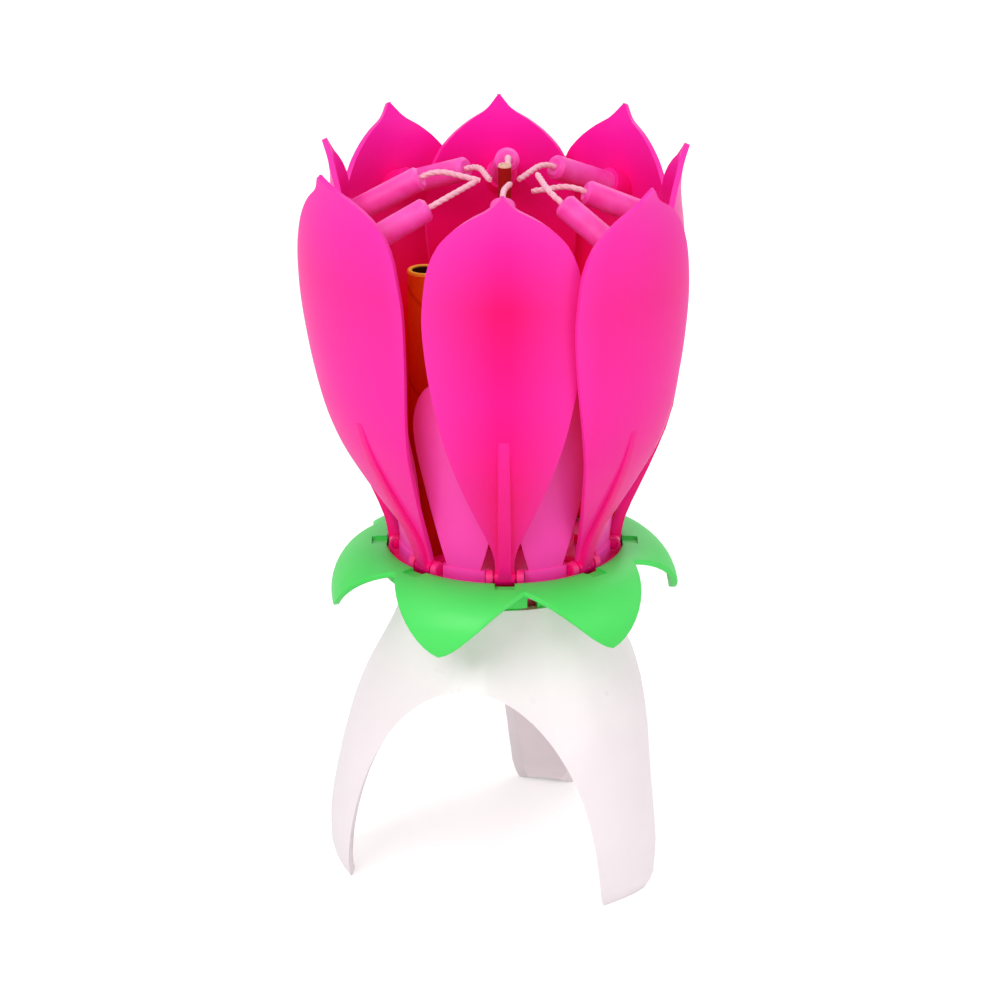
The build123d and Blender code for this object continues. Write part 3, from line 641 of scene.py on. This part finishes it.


# The rib takes the colour of the blade at this share of the way from its middle to its edge.
# This makes the rib a lighter line on the front petal, a painted highlight, and a little deeper
# than the pale side petals, a painted shade along its shadowed side.
rib_across = 0.6
mark(rib, "across", rib_across)
heel = rod("petal_heel", heel_radius, (0, -heel_width / 2, 0), (0, heel_width / 2, 0), 0.2 * mm)
trunnions = rod(
    "petal_trunnions", trunnion_radius, (0, -trunnion_reach, 0), (0, trunnion_reach, 0), 0.12 * mm
)
tongue = box_out_from_axis(0, -tongue_size[0] / 2, 0, tongue_size)
tongue.name = "petal_tongue"
soften(tongue, 0.15 * mm, segments=2)
candle_radius = 1.8 * mm
candle_length = 15.0 * mm
candle_out_share, candle_up_share = 0.991, 0.795
socket_bore = 1.83 * mm
socket_radius = 2.33 * mm
socket_depth = 2.0 * mm
socket_floor = 0.6 * mm
socket_rim = 0.12 * mm
socket_root = 3.0 * mm
socket_depth_in_wall = 0.25 * mm
bore_shortfall = 0.1 * mm
round_steps = 40
side_corners = 8
candle_seat = Vector(
    (candle_out_share * petal_bulge - petal_wall, 0, candle_up_share * petal_length)
)


def aimed(turn, rise):
    """A direction in a petal's own frame: inwards, turned to the side, and rising."""
    side, up = math.radians(turn), math.radians(rise)
    return Vector((-math.cos(side) * math.cos(up), math.sin(side) * math.cos(up), math.sin(up)))


def socket_reach(along):
    """How far along a candle's line its end stands off the petal's wall."""
    slant = math.sqrt(1 - along.x**2)
    return (socket_floor + socket_bore * slant) / abs(along.x)


def pick_end(piece, middle):
    """In edit mode, selects the end face with this middle, which has more corners than a side."""
    bpy.ops.mesh.select_mode(type="FACE")
    bpy.ops.mesh.select_all(action="DESELECT")
    shape = bmesh.from_edit_mesh(piece.data)
    for face in shape.faces:
        at_middle = (face.calc_center_median() - middle).length < nearly
        face.select = len(face.verts) > side_corners and at_middle
    bmesh.update_edit_mesh(piece.data)


def copied(piece, name):
    twin = piece.copy()
    twin.data = piece.data.copy()
    twin.name = name
    bpy.context.collection.objects.link(twin)
    return twin


petal_seats, petal_leans, petals = {}, {}, {}
for number, (angle, turn, side_lean, out_lean) in petal_rest.items():
    petal_seats[number] = out_from_axis(angle, hinge_radius, hinge_height)
    petal_leans[number] = (
        Matrix.Rotation(math.radians(turn), 4, "Z")
        @ Matrix.Rotation(math.radians(side_lean), 4, "X")
        @ Matrix.Rotation(math.radians(out_lean), 4, "Y")
    )
    along = aimed(candle_aim[number][0], candle_aim[number][1])
    mouth = candle_seat + along * (socket_reach(along) + socket_depth)
    buried = candle_seat - along * socket_root
    cup = rod("petal_socket", socket_radius, buried, mouth, socket_rim, round_steps)
    edit()
    inside_wall = candle_seat + Vector((socket_depth_in_wall, 0, 0))
    bpy.ops.mesh.bisect(plane_co=inside_wall, plane_no=(1, 0, 0), use_fill=True, clear_outer=True)
    pick_end(cup, mouth)
    bpy.ops.mesh.inset(thickness=socket_radius - socket_rim - socket_bore)
    sunk = -along * (socket_depth - bore_shortfall)
    bpy.ops.mesh.extrude_region_move(TRANSFORM_OT_translate={"value": sunk})
    bpy.ops.object.mode_set(mode="OBJECT")
    own_blade = copied(blade, f"outer_petal_{number}")
    # The pale mark carries each petal's painted highlight.
    mark(own_blade, "pale", petal_painted_light[number])
    leaning = joined([own_blade, copied(rib, "rib"), cup])
    settle(leaning, petal_leans[number])
    hinge = [copied(heel, "heel"), copied(trunnions, "pins"), copied(tongue, "tongue")]
    whole = joined([leaning, *hinge])
    settle(whole, petal_seats[number])
    smooth_by_angle(whole, 35)
    petals[number] = whole
for pattern in (blade, rib, heel, trunnions, tongue):
    bpy.data.objects.remove(pattern)


def colour_ramp(nodes, place, stops):
    """The colour at this output's value on a ramp through these stops."""
    ramp = add_node(nodes, "ValToRGB", {"Fac": place})
    elements = ramp.color_ramp.elements
    for element, (share, colour) in zip(list(elements), (stops[0], stops[-1])):
        element.position = share
        element.color = colour
    for share, colour in stops[1:-1]:
        elements.new(share).color = colour
    return ramp, "Color"


def petal_finish(name, heights, tones, edge, edge_share, painted_inner_light_tones):
    """Pink moulded plastic: deeper at the foot, and paler at the tip and along the thin edges,
    partly as thin plastic and partly as a painted highlight. The side that faces the axis is
    painted redder, a painted stand-in for the light bounced between and through its neighbours in
    the shaded hollow."""
    low_height, high_height = heights
    inward = -0.5
    material = moulded_finish(
        name, tones[0][1], tones[-1][1], low=0.28, high=0.38, coat=0.04, specular=0.12
    )
    nodes = material.node_tree.nodes
    place = add_node(nodes, "TexCoord")
    parts = add_node(nodes, "SeparateXYZ", {"Vector": (place, "Object")})
    climb = add_node(
        nodes, "MapRange",
        {"Value": (parts, "Z"), "From Min": low_height, "From Max": high_height},
    ), "Result"
    # Paler towards the thin edges: partly the thin plastic, and partly a painted highlight for the
    # soft light bands down each side of a petal. There is less of it towards the foot.
    across = add_node(nodes, "Attribute", attribute_name="across")
    near_edge = add_node(
        nodes, "MapRange",
        {"Value": (across, "Fac"), "From Min": 0.1, "From Max": 1.0, "To Max": edge_share},
    )
    less_below = add_node(nodes, "MapRange", {"Value": climb, "From Max": 0.6, "To Min": 0.4})
    edge_weight = reckon(nodes, "MULTIPLY", (near_edge, "Result"), (less_below, "Result"))
    # Painted light: the paleness that each petal is given where the lamps light it.
    painted_light_mark = add_node(nodes, "Attribute", attribute_name="pale")
    paleness_with_painted_light = reckon(nodes, "MAXIMUM", edge_weight, (painted_light_mark, "Fac"))
    outside = colour_mix(nodes, paleness_with_painted_light, colour_ramp(nodes, climb, tones), edge)
    level = add_node(
        nodes, "VectorMath", {0: (place, "Object"), 1: (1, 1, 0)}, operation="MULTIPLY"
    )
    outwards = add_node(nodes, "VectorMath", {0: (level, 0)}, operation="NORMALIZE")
    facing = add_node(
        nodes, "VectorMath", {0: (outwards, 0), 1: (place, "Normal")}, operation="DOT_PRODUCT"
    )
    # Painted light: faces that look at the axis take a deep red ramp, a painted stand-in for the
    # light bounced between the petals in the flower's shaded hollow.
    faces_axis = reckon(nodes, "LESS_THAN", (facing, "Value"), inward)
    inside = colour_ramp(nodes, climb, painted_inner_light_tones)
    two_sided = colour_mix(nodes, faces_axis, outside, inside)
    deeper = add_node(nodes, "HueSaturation", {"Value": 0.95, "Color": two_sided})
    feed(nodes["skin"], {"Colour": two_sided, "Other colour": (deeper, "Color")})
    return material


petal_plastic = petal_finish(
    "petal_plastic",
    (hinge_height, hinge_height + petal_length),
    (
        (0.00, paint(248, 0, 118)), (0.24, paint(246, 0, 114)), (0.50, paint(254, 8, 142)),
        (0.73, paint(253, 0, 112)), (0.88, paint(254, 30, 160)), (1.00, paint(254, 56, 182)),
    ),
    # The pale edge colour and its share: thin plastic and painted highlight together.
    paint(255, 56, 180), 0.75,
    # Painted light: the deep red ramp for the faces that look at the axis.
    ((0.45, paint(255, 0, 10)), (0.95, paint(255, 26, 178))),
)
for number, petal in petals.items():
    give_finish(petal, petal_plastic)
    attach(petal, f"petal_{number}")
    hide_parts(f"petal_{number}")

# Inner petals: eight short pink petals that rise from a low ring between the hinges. They are one
# plastic moulding with a thin floor, which the fuse's post holds down on the hub.
hub_top = 48.65 * mm
inner_radius = 15.7 * mm
inner_base = 51.0 * mm
inner_height = 30.0 * mm
inner_half_width = 6.4 * mm
inner_bulge = 4.6 * mm
inner_wall = 0.8 * mm
floor_thickness = 0.6 * mm
ring_outer = 15.8 * mm
ring_inner = 14.8 * mm
half_petal_pitch = 180 / len(petal_rest)
post_bore = 1.48 * mm
tube_place = (-11.508 * mm, -3.739 * mm)
tube_hole_radius = 2.55 * mm
pin_place = (0.0, 10.6 * mm)
pin_hole_radius = 1.1 * mm
hinge_gap_length, hinge_gap_width = 2.5 * mm, 5.7 * mm
cut_through = 1 * mm
inner_shares = (
    (-0.040, 0.000, 0.400), (0.000, 0.000, 0.410), (0.080, 0.040, 0.527), (0.240, 0.160, 0.727),
    (0.380, 0.350, 0.850), (0.500, 0.540, 0.935), (0.620, 0.740, 0.990), (0.730, 0.880, 1.000),
    (0.820, 0.960, 0.930), (0.890, 0.990, 0.800), (0.940, 0.990, 0.640), (0.975, 0.970, 0.430),
    (1.000, 0.945, 0.140),
)
inner_places = [-0.04, -0.02] + [row / 24 for row in range(22)]
inner_places += [0.90, 0.925, 0.945, 0.96, 0.975, 0.988, 1.0]
short_petal = petal_sheet(
    "inner_petal", inner_shares, inner_places, 16, inner_height, inner_half_width, inner_bulge,
    inner_radius,
)
use(short_petal, "SOLIDIFY", thickness=inner_wall, offset=-1, use_even_offset=False)
soften(short_petal, 0.2 * mm, segments=3, degrees=50)


def merged(piece):
    """Merges the vertices that lie on each other and turns every face outwards."""
    choose(piece)
    edit()
    bpy.ops.mesh.remove_doubles(threshold=same_place)
    close_up()


def cut_away(piece, cutters):
    """Takes the cutters, which lie apart from each other, out of the piece."""
    tool = joined(cutters)
    use(piece, "BOOLEAN", object=tool, operation="DIFFERENCE", solver="EXACT")
    bpy.data.objects.remove(tool)


def boxes_at_hinges(length, width, low, high):
    """A box at each petal's hinge, between two heights."""
    size = (length, width, high - low)
    return [
        box_out_from_axis(angle, hinge_radius, (low + high) / 2, size)
        for angle, *_ in petal_rest.values()
    ]


floor_top = hub_top + floor_thickness
ring_section = (
    (post_bore, hub_top), (ring_outer, hub_top), (ring_outer, inner_base), (ring_inner, inner_base),
    (ring_inner, floor_top), (post_bore, floor_top), (post_bore, hub_top),
)
inner_ring = turned_wall("inner_ring", ring_section, 128)
merged(inner_ring)
below_floor, above_floor = hub_top - cut_through, floor_top + cut_through
ring_cuts = boxes_at_hinges(
    hinge_gap_length, hinge_gap_width, below_floor, inner_base + cut_through
)
holes = ((tube_hole_radius, tube_place), (pin_hole_radius, pin_place))
for hole_radius, (x, y) in holes:
    ring_cuts.append(rod("hole", hole_radius, (x, y, below_floor), (x, y, above_floor), 0))
cut_away(inner_ring, ring_cuts)
soften(inner_ring, 0.12 * mm, segments=2, degrees=50)
inner_parts = [inner_ring]
for angle, *_ in petal_rest.values():
    twin = copied(short_petal, "inner_petal_copy")
    settle(twin, out_from_axis(angle + half_petal_pitch, inner_radius, inner_base))
    inner_parts.append(twin)
bpy.data.objects.remove(short_petal)
inner_petals = joined(inner_parts)
inner_petals.name = "inner_petal_ring"
smooth_by_angle(inner_petals, 35)
inner_plastic = petal_finish(
    "inner_plastic",
    (inner_base, inner_base + inner_height),
    ((0.0, paint(255, 66, 178)), (0.6, paint(255, 80, 186)), (1.0, paint(255, 84, 188))),
    paint(255, 62, 172), 0.6,
    # Painted light: the deep red ramp for the faces that look at the axis.
    ((0.45, paint(255, 0, 30)), (0.95, paint(250, 0, 70))),
)
give_finish(inner_petals, inner_plastic)
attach(inner_petals, "flower")
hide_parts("inner_petals")

# Calyx: six drooping, pointed sepals on a rim, over a neck that sits on the stand's top edge. It
# is one thin moulding of soft green plastic, clipped under the hub, with notches for the heels.
sepal_count = 6
first_sepal_angle = 8.0
rim_radius = 17.42 * mm
sepal_thickness = 0.9 * mm
sepal_arc_centre = (18.22 * mm, 42.43 * mm)
sepal_arc_radius = 7.52 * mm
sepal_arc_start = 96.1
sepal_arc_sweep = 107.0
steps_per_half_sepal = 12
sepal_rows = 12
# From a sepal's middle line to the notch beside it, how much of its length is left.
sepal_edge_shares = (
    (0.00, 1.01), (0.06, 0.99), (0.20, 0.90), (0.35, 0.77), (0.57, 0.56), (0.77, 0.38),
    (0.90, 0.28), (1.00, 0.21),
)


def on_sepal(share):
    """Radius and height on the sepals' drooping profile, from the rim at 0 to the tip at 1."""
    turn = math.radians(sepal_arc_start - sepal_arc_sweep * share)
    return (
        sepal_arc_centre[0] + sepal_arc_radius * math.cos(turn),
        sepal_arc_centre[1] + sepal_arc_radius * math.sin(turn),
    )


start_radius, start_height = on_sepal(0)
deselect()
bpy.ops.mesh.primitive_circle_add(
    vertices=2 * steps_per_half_sepal * sepal_count, radius=start_radius, fill_type="NOTHING",
    location=(0, 0, start_height),
)
sepals = bpy.context.object
sepals.name = "calyx_sepals"
bpy.ops.object.transform_apply(location=True, rotation=True, scale=True)
edit()
half_pitch = 180.0 / sepal_count
for row in range(1, sepal_rows + 1):
    bpy.ops.mesh.extrude_edges_move(TRANSFORM_OT_translate={"value": (0, 0, 0)})
    sepal_shape = bmesh.from_edit_mesh(sepals.data)
    edge_ring = {}
    for vertex in sepal_shape.verts:
        if vertex.select:
            angle = math.degrees(math.atan2(vertex.co.y, vertex.co.x)) % (2 * half_pitch)
            step = round(min(angle, 2 * half_pitch - angle) / half_pitch * steps_per_half_sepal)
            edge_ring.setdefault(step, set()).add(vertex.index)
    for step, members in edge_ring.items():
        reach = smooth_between(sepal_edge_shares, step / steps_per_half_sepal, 1)
        old_radius, old_height = on_sepal(reach * (row - 1) / sepal_rows)
        new_radius, new_height = on_sepal(reach * row / sepal_rows)
        pick(sepals, lambda vertex: vertex.index in members)
        widen = new_radius / old_radius
        bpy.ops.transform.resize(value=(widen, widen, 1), center_override=(0, 0, old_height))
        bpy.ops.transform.translate(value=(0, 0, new_height - old_height))
    whole_ring = set().union(*edge_ring.values())
    pick(sepals, lambda vertex: vertex.index in whole_ring)
close_up()
settle(sepals, Matrix.Rotation(math.radians(first_sepal_angle), 4, "Z"))
use(sepals, "SOLIDIFY", thickness=sepal_thickness, offset=-1, use_even_offset=False)
soften(sepals, 0.25 * mm, segments=3, degrees=50)
neck_inner, neck_outer = 13.75 * mm, 14.85 * mm
flange_radius, flange_bottom, flange_top = 18.32 * mm, 46.3 * mm, 47.1 * mm
neck_top = 49.2 * mm
neck_section = (
    (neck_inner, stand_height), (neck_outer, stand_height), (neck_outer, flange_bottom),
    (flange_radius, flange_bottom), (flange_radius, neck_top), (rim_radius, neck_top),
    (rim_radius, flange_top), (neck_inner, flange_top), (neck_inner, stand_height),
)
window_angle = 284
window_size = (8.2 * mm, 2.4 * mm, 6.4 * mm)
notch_length, notch_width, notch_low, notch_high = 7.5 * mm, 2.9 * mm, 49.4 * mm, 51.0 * mm
neck = turned_wall("calyx_neck", neck_section, 144)
merged(neck)
cut_away(neck, [box_out_from_axis(window_angle, neck_outer, stand_height, window_size)])
cut_away(sepals, boxes_at_hinges(notch_length, notch_width, notch_low, notch_high))
soften(neck, 0.1 * mm, segments=2, degrees=50)
calyx = joined([sepals, neck])
smooth_by_angle(calyx, 35)
green_plastic = moulded_finish(
    "green_plastic", paint(78, 228, 100), paint(52, 214, 76), low=0.38, high=0.5, coat=0.05,
    specular=0.35, mottle=60.0,
)
give_finish(calyx, green_plastic)
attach(calyx, "flower")
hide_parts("calyx")

# Candles: a short round stick of pink wax in each petal's cup, pointing in at the fuse, with a
# chamfered end and a shallow dish round its wick. The wick is a limp twist of three cotton
# threads, set in the wax and bent over to meet the fuse.
candle_chamfer = 0.5 * mm
candle_gap = 0.05 * mm
dish_rim, dish_slope, dish_depth = 0.25 * mm, 0.3 * mm, 0.12 * mm
dish_step, dish_step_depth = 0.25 * mm, 0.05 * mm
wick_radius = 0.45 * mm
wick_length = 8.5 * mm
wick_root = 2.5 * mm
wick_bend_start = 2.4 * mm
wick_bend_share = 0.9
wick_bend_steps = 8
wick_threads = 3
wick_corners = 18
# Creases between the threads: where they start and end on the threads' wave, and the radius left.
wick_creases = ((-1.1, -0.6, 0.82), (-0.6, 0.3, 0.93))
wick_end_share = 0.8
wick_twists = 3.5
wick_steps = 40

wax, wax_nodes, wax_shader = finish_for("candle_wax")
wax_place = add_node(wax_nodes, "TexCoord")
wax_cloud = add_node(
    wax_nodes, "TexNoise", {"Vector": (wax_place, "Object"), "Scale": 420, "Detail": 4}
), "Fac"
wax_gloss = add_node(wax_nodes, "MapRange", {"Value": wax_cloud, "To Min": 0.38, "To Max": 0.58})
wax_bump = add_node(
    wax_nodes, "Bump", {"Strength": 0.25, "Distance": 0.05 * mm, "Height": wax_cloud}
)
feed(wax_shader, {
    "Base Color": colour_ramp(
        wax_nodes, wax_cloud, ((0.3, paint(253, 60, 178)), (0.7, paint(255, 92, 200)))
    ),
    "Roughness": (wax_gloss, "Result"),
    "Normal": (wax_bump, "Normal"),
    "Subsurface Weight": 0.25,
    "Subsurface Radius": (1.0 * mm, 0.4 * mm, 0.5 * mm),
    "Subsurface Scale": 1.0,
})

cotton, cotton_nodes, cotton_shader = finish_for("wick_cotton")
cotton_place = add_node(cotton_nodes, "TexCoord")
fibres = add_node(
    cotton_nodes, "TexNoise", {"Vector": (cotton_place, "Object"), "Scale": 5200, "Detail": 3}
), "Fac"
fibre_bump = add_node(
    cotton_nodes, "Bump", {"Strength": 0.5, "Distance": 0.06 * mm, "Height": fibres}
)
feed(cotton_shader, {
    "Base Color": colour_ramp(
        cotton_nodes, fibres, ((0.3, paint(246, 158, 190)), (0.65, paint(255, 208, 220)))
    ),
    "Normal": (fibre_bump, "Normal"),
    "Roughness": 0.85,
    "Sheen Weight": 0.3,
})


def wax_stick(name, length):
    """A stick of wax along Z from 0, chamfered at both ends, with a dish in its upper end."""
    stick = rod(name, candle_radius, (0, 0, 0), (0, 0, length), 0, round_steps)
    soften(stick, candle_chamfer, segments=1)
    edit()
    pick_end(stick, Vector((0, 0, length)))
    bpy.ops.mesh.inset(thickness=dish_rim)
    bpy.ops.mesh.inset(thickness=dish_slope)
    bpy.ops.transform.translate(value=(0, 0, -dish_depth))
    bpy.ops.mesh.inset(thickness=dish_step)
    bpy.ops.transform.translate(value=(0, 0, -dish_step_depth))
    bpy.ops.object.mode_set(mode="OBJECT")
    return stick


def twisted_wick(name, route):
    """Three threads in one section, drawn up straight, twisted, and laid along the route."""
    path_data = bpy.data.curves.new(name + "_path", "CURVE")
    path_data.dimensions = "3D"
    line = path_data.splines.new("POLY")
    line.points.add(len(route) - 1)
    for point, place in zip(line.points, route):
        point.co = (*place, 1)
    path_length = sum((after - before).length for before, after in zip(route, route[1:]))
    path = bpy.data.objects.new(name + "_path", path_data)
    bpy.context.collection.objects.link(path)
    deselect()
    bpy.ops.mesh.primitive_circle_add(vertices=wick_corners, radius=wick_radius, fill_type="NGON")
    wick = bpy.context.object
    wick.name = name
    edit()
    for low, high, share in wick_creases:
        pick(
            wick,
            lambda vertex: low
            <= math.cos(wick_threads * math.atan2(vertex.co.y, vertex.co.x))
            < high,
        )
        bpy.ops.transform.resize(value=(share, share, 1), center_override=(0, 0, 0))
    bpy.ops.mesh.select_mode(type="FACE")
    bpy.ops.mesh.select_all(action="SELECT")
    for _ in range(wick_steps):
        bpy.ops.mesh.extrude_region_move(
            TRANSFORM_OT_translate={"value": (0, 0, path_length / wick_steps)}
        )
    bpy.ops.transform.resize(value=(wick_end_share, wick_end_share, 1))
    close_up()
    twist = wick_twists * 2 * math.pi
    use(wick, "SIMPLE_DEFORM", deform_method="TWIST", deform_axis="Z", angle=twist)
    use(wick, "CURVE", object=path, deform_axis="POS_Z")
    bpy.data.objects.remove(path)
    return wick


for number in petal_rest:
    candle_turn, candle_rise, wick_turn, wick_rise = candle_aim[number]
    along = aimed(candle_turn, candle_rise)
    candle_reach = socket_reach(along) + candle_gap
    in_place = petal_seats[number] @ petal_leans[number]
    candle = wax_stick(f"wax_candle_{number}", candle_length - candle_reach)
    upright = along.to_track_quat("Z", "Y").to_matrix().to_4x4()
    base = candle_seat + along * candle_reach
    settle(candle, in_place @ Matrix.Translation(base) @ upright)
    smooth_by_angle(candle, 35)
    give_finish(candle, wax)
    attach(candle, f"petal_{number}")
    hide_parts(f"candle_{number}")
    tip = candle_seat + along * candle_length
    corner = tip + along * wick_bend_start
    wick_end = tip + aimed(wick_turn, wick_rise) * wick_length
    onward = (wick_end - corner).normalized()
    bend_room = wick_bend_share * wick_bend_start
    bend_from, bend_to = corner - along * bend_room, corner + onward * bend_room
    route = [tip - along * wick_root]
    for step in range(wick_bend_steps + 1):
        t = step / wick_bend_steps
        route.append(bend_from * (1 - t) ** 2 + corner * 2 * t * (1 - t) + bend_to * t**2)
    route.append(wick_end)
    wick = twisted_wick(f"cotton_wick_{number}", route)
    settle(wick, in_place)
    smooth_by_angle(wick, 60)
    give_finish(wick, cotton)
    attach(wick, f"petal_{number}")
    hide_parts(f"wick_{number}")

# Fuse: a dark red stick of wound paper on the axis, with a pale rim of clay round its powder. It
# stands in the socket of the post.
fuse_radius, fuse_bottom, fuse_top = 0.95 * mm, 52.3 * mm, 107.5 * mm
fuse_clay_depth = 0.35 * mm
fuse_seam_pitch = 9 * mm
# Painted shade: the near black colour of a bore's inside wall.
painted_bore_shade = paint(46, 12, 4)


def wound_paper_group():
    """Paper wound in a spiral: a mask of the seam, a fibre pattern, and their height together."""
    group, nodes, given, result = new_group(
        "wound_paper",
        (("Centre", "Vector", (0, 0, 0)), ("Pitch", "Float", 0.01)),
        (("Seam", "Float"), ("Fibre", "Float"), ("Height", "Float")),
    )
    seam_width, fibre_depth = 0.06, 0.6
    place = add_node(nodes, "TexCoord")
    off_axis = add_node(
        nodes, "VectorMath", {0: (place, "Object"), 1: (given, "Centre")}, operation="SUBTRACT"
    ), 0
    parts = add_node(nodes, "SeparateXYZ", {"Vector": off_axis})
    angle = reckon(nodes, "ARCTAN2", (parts, "Y"), (parts, "X"))
    turns = reckon(nodes, "DIVIDE", angle, 2 * math.pi)
    climb = reckon(nodes, "DIVIDE", (parts, "Z"), (given, "Pitch"))
    share = reckon(nodes, "FRACT", reckon(nodes, "ADD", turns, climb))
    fibre = add_node(nodes, "TexNoise", {"Vector": off_axis, "Scale": 1500, "Detail": 4}), "Fac"
    raised = reckon(nodes, "MULTIPLY", fibre, fibre_depth)
    feed(result, {
        "Seam": reckon(nodes, "LESS_THAN", share, seam_width),
        "Fibre": fibre,
        "Height": reckon(nodes, "ADD", raised, share),
    })
    return group


wound_paper = wound_paper_group()


def paper_finish(name, centre, pitch, heights, foot, top, seam_colour, rim_start, rim):
    """Wound paper that goes from one colour up to another, with another colour from rim_start.
    Where the mesh has a bore it is painted near black, a painted shade for the dark inside of the
    bore."""
    low_height, high_height = heights
    material, nodes, shader = finish_for(name)
    paper = add_node(
        nodes, "Group", {"Centre": (*centre, 0), "Pitch": pitch}, node_tree=wound_paper
    )
    place = add_node(nodes, "TexCoord")
    parts = add_node(nodes, "SeparateXYZ", {"Vector": (place, "Object")})
    climb = add_node(
        nodes, "MapRange",
        {"Value": (parts, "Z"), "From Min": low_height, "From Max": high_height},
    )
    at_rim = reckon(nodes, "GREATER_THAN", (parts, "Z"), rim_start)
    bore = add_node(nodes, "Attribute", attribute_name="bore")
    faint_fibre = reckon(nodes, "MULTIPLY", (paper, "Fibre"), 0.35)
    faint_seam = reckon(nodes, "MULTIPLY", (paper, "Seam"), 0.5)
    plain = colour_mix(nodes, (climb, "Result"), foot, top)
    fibred = colour_mix(nodes, faint_fibre, plain, seam_colour)
    seamed = colour_mix(nodes, faint_seam, fibred, seam_colour)
    rimmed = colour_mix(nodes, at_rim, seamed, rim)
    bump = add_node(
        nodes, "Bump", {"Strength": 0.4, "Distance": 0.08 * mm, "Height": (paper, "Height")}
    )
    feed(shader, {
        "Base Color": colour_mix(nodes, (bore, "Fac"), rimmed, painted_bore_shade),
        "Normal": (bump, "Normal"), "Roughness": 0.7, "Specular IOR Level": 0.12,
    })
    return material


# Radius and height of each ring: up the outside, over the clay rim and down to the powder.
fuse_rings = (
    (0.80 * mm, fuse_bottom), (fuse_radius, fuse_bottom + 0.15 * mm),
    (fuse_radius, fuse_top - 0.12 * mm), (0.88 * mm, fuse_top), (0.66 * mm, fuse_top),
    (0.60 * mm, fuse_top - 0.25 * mm), (0.30 * mm, fuse_top - 0.15 * mm),
)
fuse = turned_wall("paper_fuse", fuse_rings, 48)
for _, end_height in (fuse_rings[0], fuse_rings[-1]):
    edit()
    pick(fuse, lambda vertex: abs(vertex.co.z - end_height) < same_place)
    bpy.ops.mesh.edge_face_add()
    bpy.ops.object.mode_set(mode="OBJECT")
merged(fuse)
smooth_by_angle(fuse, 35)
fuse_paper = paper_finish(
    "fuse_paper", (0, 0), fuse_seam_pitch, (fuse_bottom, fuse_top), paint(150, 2, 4),
    paint(158, 4, 6), paint(116, 0, 2), fuse_top - fuse_clay_depth, paint(228, 190, 168),
)
give_finish(fuse, fuse_paper)
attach(fuse, "flower")
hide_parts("fuse")

# Spark tube: a fat roll of orange paper that stands beside the fuse, open at the top. Its charge
# of powder is pressed in far down and keeps the shape of its solid.
tube_radius, tube_bore = 2.5 * mm, 1.8 * mm
tube_bottom, tube_top = 48.15 * mm, 93.0 * mm
tube_rim_height, tube_round = 0.3 * mm, 0.08 * mm
tube_red_height = 20 * mm
tube_painted_highlight_depth = 0.45 * mm
tube_seam_pitch = 14 * mm
# Radius and height of each ring: up the outside, over the rounded rim and down the bore.
tube_rings = (
    (tube_radius, tube_bottom), (tube_radius, tube_top - tube_rim_height),
    (2.42 * mm, tube_top - tube_round), (2.28 * mm, tube_top),
    (2.0 * mm, tube_top), (1.86 * mm, tube_top - tube_round),
    (tube_bore, tube_top - tube_rim_height), (tube_bore, tube_bottom), (tube_radius, tube_bottom),
)
tube = turned_wall("spark_paper_tube", tube_rings, 64, tube_place)
merged(tube)
# Painted shade: the bore's wall is marked here for the near black paint of paper_finish.
bore_share = tube.data.attributes.new("bore", "FLOAT", "POINT")
for vertex in tube.data.vertices:
    off_axis = math.hypot(vertex.co.x - tube_place[0], vertex.co.y - tube_place[1])
    bore_share.data[vertex.index].value = 1.0 if off_axis < tube_bore + nearly else 0.0
smooth_by_angle(tube, 35)
# The top of the tube is painted pale yellow orange, a painted highlight on its lit rim.
tube_paper = paper_finish(
    "tube_paper", tube_place, tube_seam_pitch, (tube_bottom + tube_red_height, tube_top),
    paint(222, 20, 2), paint(242, 100, 6), paint(196, 36, 2), tube_top - tube_painted_highlight_depth,
    paint(252, 182, 52),
)
give_finish(tube, tube_paper)
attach(tube, "flower")
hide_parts("spark_tube")
powder = moulded_finish(
    "spark_powder", paint(40, 2, 2), paint(20, 2, 2), low=0.8, high=0.95, depth=0.3, mottle=900,
    specular=0.1,
)
give_finish(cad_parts["spark_charge"], powder)
